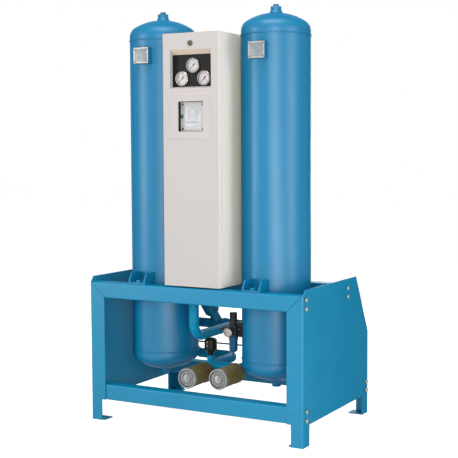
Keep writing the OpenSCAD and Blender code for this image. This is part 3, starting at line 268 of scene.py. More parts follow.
def add_bump(tree, bsdf, height, strength, depth_mm, edge_mm):
    """A fine relief, on edges that are softly rounded."""
    bevel = tree.nodes.new("ShaderNodeBevel")
    bevel.samples = 4
    bevel.inputs["Radius"].default_value = edge_mm * MM
    bump = tree.nodes.new("ShaderNodeBump")
    bump.inputs["Strength"].default_value = strength
    bump.inputs["Distance"].default_value = depth_mm * MM
    tree.links.new(height, bump.inputs["Height"])
    tree.links.new(bevel.outputs["Normal"], bump.inputs["Normal"])
    tree.links.new(bump.outputs["Normal"], bsdf.inputs["Normal"])


def gloss_faces_on(tree, bsdf, level):
    """Gloss that is strongest where the surface faces the eye and dies away at its edges."""
    weight = tree.nodes.new("ShaderNodeLayerWeight")
    weight.inputs["Blend"].default_value = 0.5
    fade = map_range(tree, weight.outputs["Facing"], 0.0, 0.6, level, 0.02)
    bsdf.inputs["Specular IOR Level"].default_value = level
    tree.links.new(fade, bsdf.inputs["Specular IOR Level"])


# Orange peel of the paints: scale of the noise, and depth in mm.
COARSE_PEEL = (260.0, 0.25)
FINE_PEEL = (700.0, 0.12)
PANEL_PEEL = (700.0, 0.1)
CABINET_COAT = {"rough": 0.55, "gloss": 0.2, "edge_mm": 1.2, "peel": FINE_PEEL}


def sprayed_coat(name, colour, rough, gloss, edge_mm, peel):
    """A sprayed coat of one colour, with orange peel and softly rounded edges."""
    tree, bsdf = new_finish(name, colour, rough)
    vary_roughness(tree, bsdf, rough - 0.05, rough + 0.06, scale=6.0)
    peel_scale, peel_mm = peel
    height = object_noise(tree, peel_scale, detail=1.0)
    add_bump(tree, bsdf, height, strength=0.25, depth_mm=peel_mm, edge_mm=edge_mm)
    gloss_faces_on(tree, bsdf, gloss)
    return tree, bsdf


def paint(name, colour, **coat):
    """Sprayed paint whose colour drifts faintly."""
    tree, bsdf = sprayed_coat(name, colour, **coat)
    vary_colour(tree, bsdf, colour, spread=0.05, scale=2.5)


# Where the painted shade on the cabinet's side begins, as a share of its depth.
SHADE_TAN_START = 0.42


def side_paint_shaded_to_back():
    """The cabinet's side paint, which warms to a tan of painted shade towards the back edge, where the
    right vessel shades the side.
    """
    tree, bsdf = sprayed_coat("side_paint_shaded_to_back", SIDE_LIT_WHITE, **CABINET_COAT)
    low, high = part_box("cabinet_body")
    depth = object_axis(tree, "Y", low.y + SHADE_TAN_START * (high.y - low.y), high.y)
    tone = two_tones(tree, depth, 0.0, 1.0, SIDE_LIT_WHITE, SIDE_SHADE_TAN)
    tree.links.new(tone, bsdf.inputs["Base Color"])


FOLD_START = 1.6 * MM
FOLD_END = 0.4 * MM


def cover_paint():
    """The cover's paint: the front's darker tone of painted shade, and on its folded edges the sides'
    lighter tone of painted light.
    """
    tree, bsdf = sprayed_coat("cover_paint", FRONT_SHADED_WHITE, **CABINET_COAT)
    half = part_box("cabinet_cover")[1].x
    right = object_axis(tree, "X", half - FOLD_START, half - FOLD_END)
    left = object_axis(tree, "X", FOLD_START - half, FOLD_END - half)
    tone = two_tones(tree, larger(tree, right, left), 0.0, 1.0, FRONT_SHADED_WHITE, SIDE_LIT_WHITE)
    tree.links.new(tone, bsdf.inputs["Base Color"])


def metal(name, colour, rough, scratch=(1, 1, 1), edge_mm=0.3):
    """Bare metal with slight stains and fine scratches, which `scratch` draws out along the axes."""
    tree, bsdf = new_finish(name, colour, rough, metallic=1.0)
    vary_colour(tree, bsdf, colour, spread=0.12, scale=40.0)
    vary_roughness(tree, bsdf, rough * 0.75, rough * 1.3, scale=120.0)
    height = object_noise(tree, scale=300.0, stretch=scratch)
    add_bump(tree, bsdf, height, strength=0.2, depth_mm=0.05, edge_mm=edge_mm)
    return bsdf


def cast_metal(name, colour):
    """Cast aluminium with a dull skin."""
    bsdf = metal(name, colour, rough=0.5, edge_mm=0.8)
    bsdf.inputs["Metallic"].default_value = 0.35


def plastic(name, colour, rough, grain):
    """Moulded plastic with a fine grain."""
    tree, bsdf = new_finish(name, colour, rough)
    vary_colour(tree, bsdf, colour, spread=0.08, scale=30.0)
    add_bump(tree, bsdf, object_noise(tree, grain), strength=0.2, depth_mm=0.06, edge_mm=0.5)
    return bsdf


def dull_plastic(name, colour, rough, grain):
    """Moulded plastic with little gloss."""
    bsdf = plastic(name, colour, rough, grain)
    bsdf.inputs["Specular IOR Level"].default_value = 0.18


def mottled_mesh():
    """The mufflers' sintered body: olive with dark damp patches and a coarse grain."""
    tree, bsdf = new_finish("muffler_mesh", OLIVE, 0.7)
    grain = two_tones(tree, object_noise(tree, 160.0, detail=3.0), 0.35, 0.7,
                      lighter(OLIVE, -0.35), lighter(OLIVE, 0.35))
    patch = two_tones(tree, object_noise(tree, 14.0), 0.28, 0.42, OLIVE_DARK, OLIVE)
    mask = two_tones(tree, object_noise(tree, 11.0), 0.34, 0.5, (0.75,) * 3, (0.1,) * 3)
    tree.links.new(blend_colours(tree, mask, grain, patch), bsdf.inputs["Base Color"])
    add_bump(tree, bsdf, object_noise(tree, scale=420.0), strength=0.5, depth_mm=0.35, edge_mm=0.8)
    bsdf.inputs["Specular IOR Level"].default_value = 0.2


def clear_glass():
    """Gauge glass: clear, with only its gloss to be seen."""
    bsdf = new_finish("clear_glass", WHITE, 0.04)[1]
    bsdf.inputs["Transmission Weight"].default_value = 1.0
    bsdf.inputs["IOR"].default_value = 1.08


def make_finishes():
    paint("blue_paint", BLUE, rough=0.45, gloss=0.55, edge_mm=4.0, peel=COARSE_PEEL)
    # Painted shade: the vessels' darker copy of the frame's blue.
    paint("vessel_paint_shaded", VESSEL_SHADED_BLUE, rough=0.38, gloss=0.58, edge_mm=1.6, peel=COARSE_PEEL)
    # Painted light: the pipes' blue is the frame's blue made lighter, standing for the strong light inside
    # the frame.
    paint("pipe_paint_lit", lighter(BLUE, 0.2), rough=0.42, gloss=0.14, edge_mm=1.6, peel=COARSE_PEEL)
    paint("front_paint", FRONT_SHADED_WHITE, **CABINET_COAT)
    cover_paint()
    side_paint_shaded_to_back()
    # Painted shade on the white reveals.
    paint("reveal_painted_shade", REVEAL_SHADE_TAN, rough=0.6, gloss=0.1, edge_mm=0.8, peel=FINE_PEEL)
    paint("panel_black", BLACK, rough=0.5, gloss=0.15, edge_mm=0.5, peel=PANEL_PEEL)
    metal("bright_steel", (0.23, 0.235, 0.225), rough=0.22, edge_mm=0.6)
    metal("dark_steel", (0.05, 0.05, 0.045), rough=0.45, edge_mm=0.4)
    metal("plate_metal", (0.36, 0.34, 0.31), rough=0.5, scratch=(12, 1, 0.2))
    metal("etched_metal", (0.21, 0.235, 0.25), rough=0.55, scratch=(1, 1, 12))
    metal("rivet_metal", (0.17, 0.10, 0.07), rough=0.4)
    metal("lock_metal", (0.085, 0.075, 0.055), rough=0.35)
    metal("gauge_metal", (0.28, 0.27, 0.25), rough=0.24)
    metal("turned_metal", (0.33, 0.335, 0.325), rough=0.35)
    metal("screen_steel", (0.5, 0.5, 0.5), rough=0.4)
    metal("brass", (0.20, 0.14, 0.07), rough=0.4)
    cast_metal("cap_metal", (0.165, 0.175, 0.172))
    plastic("dial_white", (0.47, 0.43, 0.435), rough=0.6, grain=900.0)
    plastic("dial_cream", (0.46, 0.40, 0.32), rough=0.6, grain=900.0)
    plastic("print_black", (0.015, 0.015, 0.016), rough=0.6, grain=900.0)
    plastic("print_grey", (0.12, 0.125, 0.13), rough=0.6, grain=900.0)
    # Painted shadow round the dials.
    plastic("shadow_ring_grey", (0.10, 0.095, 0.09), rough=0.6, grain=900.0)
    plastic("controller_grey", (0.50, 0.50, 0.48), rough=0.5, grain=700.0)
    plastic("overlay_grey", (0.56, 0.57, 0.59), rough=0.5, grain=900.0)
    plastic("plug_green", (0.045, 0.150, 0.055), rough=0.45, grain=600.0)
    plastic("lamp_green", (0.05, 0.30, 0.10), rough=0.3, grain=900.0)
    plastic("desiccant", (0.8, 0.77, 0.7), rough=0.8, grain=300.0)
    dull_plastic("black_plastic", (0.009, 0.009, 0.008), rough=0.32, grain=500.0)
    dull_plastic("blue_black_plastic", (0.012, 0.015, 0.024), rough=0.38, grain=500.0)
    dull_plastic("bowl_plastic", (0.006, 0.062, 0.130), rough=0.25, grain=400.0)
    dull_plastic("tube_black", (0.012, 0.012, 0.013), rough=0.4, grain=300.0)
    mottled_mesh()
    clear_glass()


NODE_FINISHES = {
    "vessel_paint_shaded": ("left_vessel", "right_vessel", "fill_plugs", "drain_plugs"),
    "pipe_paint_lit": ("inlet_pipe", "inlet_tee", "outlet_pipes", "left_tower_pipe", "right_tower_pipe",
                   "left_exhaust_pipe", "right_exhaust_pipe", "exhaust_valve"),
    "front_paint": ("controller_frame",),
    "cover_paint": ("cabinet_cover",),
    "side_paint_shaded_to_back": ("cabinet_body",),
    "panel_black": ("gauge_panel", "controller_box"),
    "bright_steel": ("frame_bolts",),
    "dark_steel": ("controller_screws",),
    "plate_metal": ("nameplates",),
    "rivet_metal": ("nameplate_rivets",),
    "lock_metal": ("lock_housing", "lock_barrel"),
    "gauge_metal": ("gauge_cases", "regulator_gauge"),
    "screen_steel": ("bed_screens",),
    "cap_metal": ("muffler_caps",),
    "muffler_mesh": ("mufflers",),
    "dial_white": ("gauge_dials",),
    "clear_glass": ("gauge_lenses", "regulator_lens"),
    "print_black": ("outlet_pointer", "left_pointer", "right_pointer", "regulator_pointer"),
    "controller_grey": ("controller_lid",),
    "desiccant": ("left_desiccant", "right_desiccant"),
    "black_plastic": ("pilot_valves", "exhaust_actuator", "regulator_knob", "regulator_bracket"),
    "blue_black_plastic": ("regulator_body",),
    "bowl_plastic": ("filter_bowl",),
    "tube_black": ("control_tube",),
}


def dress_nodes():
    """Gives each solid its finish. A solid that is not named is painted as the frame is."""
    finish_of = {name: finish for finish, names in NODE_FINISHES.items() for name in names}
    for name, node in nodes.items():
        node.data.materials.clear()
        node.data.materials.append(FINISHES[finish_of.get(name, "blue_paint")])


# Making pieces.

SMOOTH_BELOW = math.radians(40)
MERGE_DISTANCE = 1e-6
NO_TURN = Matrix.Identity(4)


def box_middle(node):
    low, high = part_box(node)
    return (low + high) / 2


def joint_place(name):
    return Vector(next(joint["pos_m"] for joint in frame["joints"] if joint["name"] == name))


def add_piece(name, mesh, finish, body=ROOT):
    """Dresses a finished mesh and lets it ride on a body."""
    mesh.materials.clear()
    mesh.materials.append(FINISHES[finish])
    mesh.shade_smooth()
    mesh.set_sharp_from_angle(angle=SMOOTH_BELOW)
    piece = bpy.data.objects.new(name, mesh)
    bpy.context.scene.collection.objects.link(piece)
    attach(piece, body)


def finish_bmesh(name, bm, finish, body=ROOT):
    """Closes the seams of a bmesh, turns its faces outwards and makes it a piece."""
    bmesh.ops.remove_doubles(bm, verts=bm.verts, dist=MERGE_DISTANCE)
    bmesh.ops.recalc_face_normals(bm, faces=bm.faces)
    mesh = bpy.data.meshes.new(name)
    bm.to_mesh(mesh)
    bm.free()
    add_piece(name, mesh, finish, body)


def lathe(bm, profile, at, facing, steps):
    """Turns a profile of (radius, height) points in mm about the axis that leaves `at` towards `facing`."""
    known = set(bm.verts)
    points = [bm.verts.new((radius * MM, 0, height * MM)) for radius, height in profile]
    edges = [bm.edges.new(pair) for pair in zip(points, points[1:])]
    bmesh.ops.spin(bm, geom=points + edges, cent=(0, 0, 0), axis=(0, 0, 1), angle=math.tau, steps=steps,
                   use_merge=True)
    turn = UP.rotation_difference(facing).to_matrix().to_4x4()
    fresh = [vert for vert in bm.verts if vert not in known]
    bmesh.ops.transform(bm, matrix=Matrix.Translation(at) @ turn, verts=fresh)


def ring_section(inner, outer, base, shoulder, top, chamfer):
    """The closed profile of a flat ring with chamfered front edges, in mm."""
    return [(inner, base), (outer, base), (outer, shoulder), (outer - chamfer, top), (inner + chamfer, top),
            (inner, shoulder), (inner, base)]


def block(bm, centre, size, bevel=0.0, turn=NO_TURN):
    """A box with softly bevelled edges, turned about its centre."""
    verts = bmesh.ops.create_cube(bm, size=1)["verts"]
    place = Matrix.Translation(centre) @ turn @ Matrix.Diagonal((*size, 1))
    bmesh.ops.transform(bm, matrix=place, verts=verts)
    if bevel:
        edges = list({edge for vert in verts for edge in vert.link_edges})
        bmesh.ops.bevel(bm, geom=edges, offset=bevel, offset_type="OFFSET", affect="EDGES", segments=2,
                        profile=0.5, material=-1)


def wedge(bm, half_width, corners):
    """A prism along X whose section has the given (y, z) corners."""
    section = bm.faces.new([bm.verts.new((-half_width, y, z)) for y, z in corners])
    grown = bmesh.ops.extrude_face_region(bm, geom=[section])["geom"]
    moved = [part for part in grown if isinstance(part, bmesh.types.BMVert)]
    bmesh.ops.translate(bm, vec=(2 * half_width, 0, 0), verts=moved)


def curve_to_mesh(curve):
    """A mesh of a curve or a text, which is then removed."""
    shape = bpy.data.objects.new(curve.name, curve)
    bpy.context.scene.collection.objects.link(shape)
    bpy.context.view_layer.update()
    mesh = bpy.data.meshes.new_from_object(shape.evaluated_get(bpy.context.evaluated_depsgraph_get()))
    bpy.data.objects.remove(shape)
    bpy.data.curves.remove(curve)
    return mesh


def bead_mesh(name, runs, radius, closed, ripple=0.0):
    """A round bead along each run of points. A ripple thins every second point, as on a weld."""
    curve = bpy.data.curves.new(name, "CURVE")
    curve.dimensions = "3D"
    curve.bevel_depth = radius
    curve.bevel_resolution = 2
    curve.use_fill_caps = True
    for run in runs:
        spline = curve.splines.new("POLY")
        spline.points.add(len(run) - 1)
        spline.use_cyclic_u = closed
        for i, at in enumerate(run):
            spline.points[i].co = (*at, 1)
            spline.points[i].radius = 1 - ripple * (i % 2)
    mesh = curve_to_mesh(curve)
    mesh.name = name
    return mesh


# Welds.

SHELL_R = 161.95 * MM
SEAM_Z = (335 * MM, 1835 * MM)
SEAM_BEAD_R = 3.4 * MM
FILLET_R = 2.6 * MM
RIPPLE_STEP = 2.6 * MM
RIPPLE = 0.22
LUG_HALF = 46 * MM
LUG_WELD_RISE = (2 * MM, 50 * MM)
PLATE_BRACKET_HALF = 41 * MM
PLATE_WELD_INSET = 2 * MM
NOZZLE_Z = (427 * MM, 1700 * MM)
NOZZLE_R = 25.2 * MM


def ring(centre, radius, axis):
    """Points round a circle about an axis, a ripple apart."""
    count = 2 * round(math.pi * radius / RIPPLE_STEP)
    tilt = UP.rotation_difference(axis)
    arm = Vector((radius, 0, 0))
    turns = [Matrix.Rotation(math.tau * i / count, 3, "Z") for i in range(count)]
    return [Vector(centre) + tilt @ (turn @ arm) for turn in turns]


def shell_depth(off):
    """How far in front of a vessel's axis its shell lies at a distance to the side."""
    return math.sqrt(SHELL_R ** 2 - off ** 2)


def saddle(axis, z, radius):
    """Points round a pipe where it leaves the back of a vessel's shell."""
    flat = ring((axis.x, axis.y, z), radius, BACK)
    return [Vector((p.x, axis.y + shell_depth(p.x - axis.x), p.z)) for p in flat]


def shell_run(axis, off, face, low, high):
    """Points up a vessel's shell on its front (-1) or back (1), a ripple apart."""
    count = max(3, round((high - low) / RIPPLE_STEP))
    x, y = axis.x + off, axis.y + face * shell_depth(off)
    return [Vector((x, y, low + (high - low) * i / (count - 1))) for i in range(count)]


def add_weld(name, runs, radius, closed, finish):
    """A painted weld with its ripples along each run of points."""
    add_piece(name, bead_mesh(name, runs, radius, closed, RIPPLE), finish)


def vessel_welds(side):
    """Seams of the heads, and the welds of the nozzles, lugs and nameplate bracket."""
    axis = box_middle(side + "_desiccant")
    seams = [ring((axis.x, axis.y, z), SHELL_R, UP) for z in SEAM_Z]
    add_weld(side + "_seam_welds", seams, SEAM_BEAD_R, True, "vessel_paint_shaded")
    nozzles = [saddle(axis, z, NOZZLE_R) for z in NOZZLE_Z]
    add_weld(side + "_nozzle_welds", nozzles, FILLET_R, True, "vessel_paint_shaded")
    rail_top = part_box("front_top_rail")[1].z
    lug_low, lug_high = [rail_top + rise for rise in LUG_WELD_RISE]
    plate_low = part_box("nameplates")[0].z + PLATE_WELD_INSET
    plate_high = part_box("nameplates")[1].z - PLATE_WELD_INSET
    runs = []
    for hand in (-1, 1):
        for face in (-1, 1):
            runs.append(shell_run(axis, hand * LUG_HALF, face, lug_low, lug_high))
        runs.append(shell_run(axis, hand * PLATE_BRACKET_HALF, -1, plate_low, plate_high))
    add_weld(side + "_lug_welds", runs, FILLET_R, False, "vessel_paint_shaded")


PIPE_R = 24.15 * MM
PIPE_BEND_R = 66 * MM
PIPE_BEAD_R = 1.3 * MM
INLET_X = -60 * MM
INLET_LOW_Z = 427 * MM
INLET_HIGH_Z = 980 * MM
RISER_Y = -245 * MM
OUTLET_Y = 147 * MM
OUTLET_Z = 1700 * MM


def pipe_welds():
    """Butt welds where the bends join the straight pipes."""
    bend_y = RISER_Y + PIPE_BEND_R
    joins = [((INLET_X, bend_y, INLET_LOW_Z), BACK),
             ((INLET_X, RISER_Y, INLET_LOW_Z + PIPE_BEND_R), UP),
             ((INLET_X, RISER_Y, INLET_HIGH_Z - PIPE_BEND_R), UP),
             ((INLET_X, bend_y, INLET_HIGH_Z), BACK)]
    inlet = [ring(at, PIPE_R, axis) for at, axis in joins]
    add_weld("inlet_pipe_welds", inlet, PIPE_BEAD_R, True, "blue_paint")
    bend_x = box_middle("right_desiccant").x - PIPE_BEND_R
    outlet = [ring((hand * bend_x, OUTLET_Y, OUTLET_Z), PIPE_R, RIGHT) for hand in (-1, 1)]
    add_weld("outlet_pipe_welds", outlet, PIPE_BEAD_R, True, "blue_paint")


MITRE_BEAD_R = 0.9 * MM
MITRE_SINK = 0.5 * MM
MITRE_OUTER_INSET = (6 * MM, 3 * MM)
MITRE_INNER_INSET = (3 * MM, 2 * MM)
MITRE_STEPS = 30


def mitre_welds():
    """The ground weld lines across the top rail's mitred corners."""
    rail_low, rail_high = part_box("front_top_rail")
    panel_low, panel_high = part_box("right_side_panel")
    y = rail_low.y + MITRE_SINK
    outer_x, outer_z = panel_high.x - MITRE_OUTER_INSET[0], rail_high.z - MITRE_OUTER_INSET[1]
    inner_x, inner_z = panel_low.x + MITRE_INNER_INSET[0], rail_low.z + MITRE_INNER_INSET[1]
    runs = []
    for hand in (-1, 1):
        outer = Vector((hand * outer_x, y, outer_z))
        inner = Vector((hand * inner_x, y, inner_z))
        runs.append([outer.lerp(inner, i / MITRE_STEPS) for i in range(MITRE_STEPS + 1)])
    add_weld("mitre_welds", runs, MITRE_BEAD_R, False, "vessel_paint_shaded")


PLUG_WELD_PLACES = ((505, 240), (505, 203), (513, 150))
PLUG_WELD = [(0, -0.3), (5.5, -0.3), (5.0, 0.1), (3.6, 0.45), (2.4, 0.2), (0, 0.1)]


def plug_welds():
    """Low plug welds on the front flanges of the side panels."""
    front_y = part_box("right_side_panel")[0].y
    bm = bmesh.new()
    for x, z in PLUG_WELD_PLACES:
        for hand in (-1, 1):
            lathe(bm, PLUG_WELD, Vector((hand * x * MM, front_y, z * MM)), FRONT, steps=24)
    finish_bmesh("plug_welds", bm, "blue_paint")


# Gauges.

PANEL_GAUGES = ("outlet", "left", "right")
PRINT_T = 0.16 * MM
SCALE_START = math.radians(225)
SCALE_SWEEP = math.radians(270)
TICK_WIDTH = 0.22
MINOR_TICK_LENGTH = 0.55
MINOR_TICK_WIDTH = 0.11
PANEL_SCALE = {"numbers": ("0", "4", "8", "12", "16"), "divisions": 32, "outer": 26.2 * MM,
               "tick": 4.2 * MM, "number_r": 17.4 * MM, "number_h": 6.2 * MM}
REGULATOR_SCALE = {"numbers": ("0", "4", "8", "12"), "divisions": 24, "outer": 14.6 * MM,
                   "tick": 2.6 * MM, "number_r": 9.4 * MM, "number_h": 3.8 * MM}


def gauge_centre(gauge):
    return joint_place(gauge + "_needle_turn")


def scale_direction(share):
    """Direction on a dial, seen from the front, at a share of the needle's travel."""
    angle = SCALE_START - SCALE_SWEEP * share
    return Vector((math.cos(angle), 0, math.sin(angle)))


def number_into(bm, text, height, at):
    """Lays a dial number into the mesh, upright and facing the front."""
    curve = bpy.data.curves.new("number", "FONT")
    curve.body = text
    curve.size = height
    curve.align_x = "CENTER"
    curve.align_y = "CENTER"
    curve.extrude = PRINT_T / 2
    mesh = curve_to_mesh(curve)
    mesh.transform(Matrix.Translation(at) @ Matrix.Rotation(math.pi / 2, 4, "X"))
    bm.from_mesh(mesh)
    bpy.data.meshes.remove(mesh)


def dial_scale(bm, centre, numbers, divisions, outer, tick, number_r, number_h):
    """Ticks and numbers on a dial whose face is at the centre's depth."""
    middle = Vector(centre) + FRONT * (PRINT_T / 2)
    steps = len(numbers) - 1
    for i in range(divisions + 1):
        main = i % (divisions // steps) == 0
        length = tick * (1.0 if main else MINOR_TICK_LENGTH)
        width = tick * (TICK_WIDTH if main else MINOR_TICK_WIDTH)
        turn = Matrix.Rotation(SCALE_SWEEP * i / divisions - SCALE_START, 4, "Y")
        at = middle + scale_direction(i / divisions) * (outer - length / 2)
        block(bm, at, (length, PRINT_T, width), turn=turn)
    for i, text in enumerate(numbers):
        number_into(bm, text, number_h, middle + scale_direction(i / steps) * number_r)


def panel_dials():
    face_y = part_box("gauge_dials")[0].y
    for gauge in PANEL_GAUGES:
        at = gauge_centre(gauge)
        bm = bmesh.new()
        dial_scale(bm, (at.x, face_y, at.z), **PANEL_SCALE)
        finish_bmesh(gauge + "_dial_scale", bm, "print_black")


# Painted shadow: the dark ring round each panel dial.
SHADOW_RING_BEAD = 1.5
SHADOW_RING_INSET = 0.2


def dial_shadow_rings():
    """A dark ring round each panel dial, under the glass: painted shadow of the bezel on the dial."""
    low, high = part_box("gauge_dials")
    places = [gauge_centre(gauge) for gauge in PANEL_GAUGES]
    outer = (high.x - max(at.x for at in places)) / MM - SHADOW_RING_INSET
    section = ring_section(outer - SHADOW_RING_BEAD, outer, base=0, shoulder=0.5, top=0.8, chamfer=0.4)
    bm = bmesh.new()
    for at in places:
        lathe(bm, section, Vector((at.x, low.y, at.z)), FRONT, steps=64)
    finish_bmesh("dial_shadow_rings", bm, "shadow_ring_grey")


TAIL_SIZE = (12 * MM, 0.7 * MM, 5.4 * MM)
TAIL_GAP = 0.5 * MM
TAIL_EDGE = 0.3 * MM


def pointer_tails():
    """The broad balance tail behind each panel gauge's pointer."""
    length, thick, _ = TAIL_SIZE
    tail_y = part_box("gauge_dials")[0].y - TAIL_GAP - thick / 2
    turn = Matrix.Rotation(-SCALE_START, 4, "Y")
    for gauge in PANEL_GAUGES:
        at = gauge_centre(gauge)
        middle = Vector((at.x, tail_y, at.z)) - scale_direction(0) * (length / 2)
        bm = bmesh.new()
        block(bm, middle, TAIL_SIZE, TAIL_EDGE, turn)
        finish_bmesh(gauge + "_pointer_tail", bm, "print_black", gauge + "_needle")


REGULATOR_FACE_Y = -265.5 * MM
REGULATOR_DIAL_R = 17.4
REGULATOR_DIAL_T = 0.12


def regulator_dial():
    at = gauge_centre("regulator")
    face = Vector((at.x, REGULATOR_FACE_Y, at.z))
    disc = [(0, 0), (REGULATOR_DIAL_R, 0), (REGULATOR_DIAL_R, REGULATOR_DIAL_T), (0, REGULATOR_DIAL_T)]
    bm = bmesh.new()
    lathe(bm, disc, face, FRONT, steps=48)
    finish_bmesh("regulator_dial_face", bm, "dial_cream")
    bm = bmesh.new()
    dial_scale(bm, face + FRONT * REGULATOR_DIAL_T * MM, **REGULATOR_SCALE)
    finish_bmesh("regulator_dial_scale", bm, "print_black")


# Trim of the cabinet.

HOOD_DROP = 20 * MM
SILL_RISE = 8 * MM
TRIM_LIP = 1 * MM
TRIM_SIDE_GAP = 0.4 * MM
TRIM_FRONT_SINK = 0.6 * MM
TRIM_BACK_GAP = 0.1 * MM
GAUGE_WINDOW_HALF = 109 * MM
GAUGE_WINDOW_Z = (1590 * MM, 1764 * MM)


def gauge_window_trim():
    """The sloping hood over the gauges, in a tan of painted shade, and the low sill under them."""
    front_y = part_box("cabinet_cover")[0].y + TRIM_FRONT_SINK
    back_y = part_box("gauge_panel")[0].y - TRIM_BACK_GAP
    low, high = GAUGE_WINDOW_Z
    half = GAUGE_WINDOW_HALF - TRIM_SIDE_GAP
    hood = [(front_y, high), (back_y, high), (back_y, high - HOOD_DROP), (front_y, high - TRIM_LIP)]
    sill = [(front_y, low), (front_y, low + TRIM_LIP), (back_y, low + SILL_RISE), (back_y, low)]
    bm = bmesh.new()
    wedge(bm, half, hood)
    finish_bmesh("gauge_window_hood", bm, "reveal_painted_shade")
    bm = bmesh.new()
    wedge(bm, half, sill)
    finish_bmesh("gauge_window_sill", bm, "front_paint")


# Painted shadow: a tan strip round the controller's plate, for the shade of the gap at its edge.
SHADOW_STRIP_T = 0.8 * MM
SHADOW_STRIP_SHOWS = 1.2 * MM
SHADOW_STRIP_TOP_SHOWS = 2.6 * MM
SHADOW_STRIP_EDGE = 0.15 * MM


def controller_shadow_strip():
    """A tan strip of painted shadow that shows round the controller's plate, where the gap at its edge lies
    in shade.
    """
    low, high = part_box("controller_frame")
    middle = box_middle("controller_frame")
    y = high.y - SHADOW_STRIP_T / 2
    tall = high.z - low.z
    wide = high.x - low.x + 2 * SHADOW_STRIP_SHOWS
    bm = bmesh.new()
    block(bm, (middle.x, y, high.z + SHADOW_STRIP_TOP_SHOWS / 2), (wide, SHADOW_STRIP_T, SHADOW_STRIP_TOP_SHOWS), SHADOW_STRIP_EDGE)
    block(bm, (middle.x, y, low.z - SHADOW_STRIP_SHOWS / 2), (wide, SHADOW_STRIP_T, SHADOW_STRIP_SHOWS), SHADOW_STRIP_EDGE)
    for x in (low.x - SHADOW_STRIP_SHOWS / 2, high.x + SHADOW_STRIP_SHOWS / 2):
        block(bm, (x, y, middle.z), (SHADOW_STRIP_SHOWS, SHADOW_STRIP_T, tall), SHADOW_STRIP_EDGE)
    finish_bmesh("controller_shadow_strip", bm, "reveal_painted_shade")


SEAL_GAP = 1 * MM
SEAL_T = 0.9 * MM
SEAL_SINK = 0.6 * MM
SEAL_W = 6 * MM
SEAL_EDGE = 0.2 * MM


def cover_seal():
    """The pale foam seal between the cabinet's cover and its body."""
    low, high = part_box("cabinet_body")
    y = low.y - SEAL_GAP / 2
    tall = high.z - low.z - 2 * SEAL_SINK
    wide = high.x - low.x - 2 * SEAL_SINK - 2 * SEAL_W
    inset = SEAL_SINK + SEAL_W / 2
    bm = bmesh.new()
    for x in (low.x + inset, high.x - inset):
        block(bm, (x, y, (low.z + high.z) / 2), (SEAL_W, SEAL_T, tall), SEAL_EDGE)
    block(bm, (0, y, high.z - inset), (wide, SEAL_T, SEAL_W), SEAL_EDGE)
    finish_bmesh("cover_seal", bm, "front_paint")


STRIP_DEPTH = 14 * MM
STRIP_T = 2.5 * MM
STRIP_SINK = 0.3 * MM
STRIP_EDGE = 0.4 * MM


def cabinet_back_trim():
    """The edge strip round the cabinet's open back."""
    low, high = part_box("cabinet_body")
    y = high.y + STRIP_DEPTH / 2 - STRIP_SINK
    tall = high.z - low.z
    wide = high.x - low.x - 2 * STRIP_T
    bm = bmesh.new()
    for x in (low.x + STRIP_T / 2, high.x - STRIP_T / 2):
        block(bm, (x, y, (low.z + high.z) / 2), (STRIP_T, STRIP_DEPTH, tall), STRIP_EDGE)
    for z in (low.z + STRIP_T / 2, high.z - STRIP_T / 2):
        block(bm, (0, y, z), (wide, STRIP_DEPTH, STRIP_T), STRIP_EDGE)
    # The strip takes the side paint, whose tan at the back is painted shade.
    finish_bmesh("cabinet_back_trim", bm, "side_paint_shaded_to_back")


# Controller.

OVERLAY_HALF = (44 * MM, 46 * MM)
OVERLAY_T = 0.5 * MM
OVERLAY_EDGE = 0.15 * MM
SUNK_PANEL_Y = -337.8 * MM
PICTURE_LIFT = 8 * MM
TOWER_X = 17 * MM
TOWER_R = 6.5 * MM
TOWER_HALF = 13 * MM
ARCH_RISE = 9 * MM
FOOT_DROP = 5 * MM
LINE_R = 0.55 * MM
ARC_STEPS = 24
LAMP = [(0, -0.2), (1.7, -0.2), (1.7, 0.5), (1.2, 1.0), (0, 1.2)]
LAMP_STEP = 8 * MM
KEY = [(0, -0.2), (2.6, -0.2), (2.6, 0.5), (2.1, 0.9), (0, 0.9)]
KEY_COUNT = 7
KEY_STEP = 9 * MM
KEY_DROP = 26 * MM
VALVE_BUTTON = [(0, -0.2), (2.2, -0.2), (2.2, 0.4), (0, 0.6)]
VALVE_BUTTON_RISE = 5 * MM


def half_ellipse(centre, half_width, half_height, start=0.0):
    """Points along half an upright ellipse, from the angle `start` on."""
    angles = [start + math.pi * i / ARC_STEPS for i in range(ARC_STEPS + 1)]
    return [centre + Vector((half_width * math.cos(a), 0, half_height * math.sin(a))) for a in angles]


def tower_outline(middle):
    """The outline of a tower on the flow picture: two half circles joined by straight sides."""
    upper = half_ellipse(middle + UP * TOWER_HALF, TOWER_R, TOWER_R)
    return upper + half_ellipse(middle + DOWN * TOWER_HALF, TOWER_R, TOWER_R, math.pi)


def controller_overlay(lid):
    bm = bmesh.new()
    size = (2 * OVERLAY_HALF[0], OVERLAY_T, 2 * OVERLAY_HALF[1])
    block(bm, (lid.x, SUNK_PANEL_Y - OVERLAY_T / 2, lid.z), size, OVERLAY_EDGE)
    finish_bmesh("controller_overlay", bm, "overlay_grey")


def flow_picture(centre):
    """A plain picture of the two towers and the lines that join them."""
    towers = [tower_outline(centre + RIGHT * (hand * TOWER_X)) for hand in (-1, 1)]
    mesh = bead_mesh("controller_towers", towers, LINE_R, True)
    add_piece("controller_towers", mesh, "print_grey")
    top = TOWER_HALF + TOWER_R
    arch = half_ellipse(centre + UP * top, TOWER_X, ARCH_RISE)
    corners = ((-1, 0), (-1, FOOT_DROP), (1, FOOT_DROP), (1, 0))
    foot = [centre + Vector((hand * TOWER_X, 0, -top - drop)) for hand, drop in corners]
    mesh = bead_mesh("controller_lines", [arch, foot], LINE_R, False)
    add_piece("controller_lines", mesh, "print_grey")


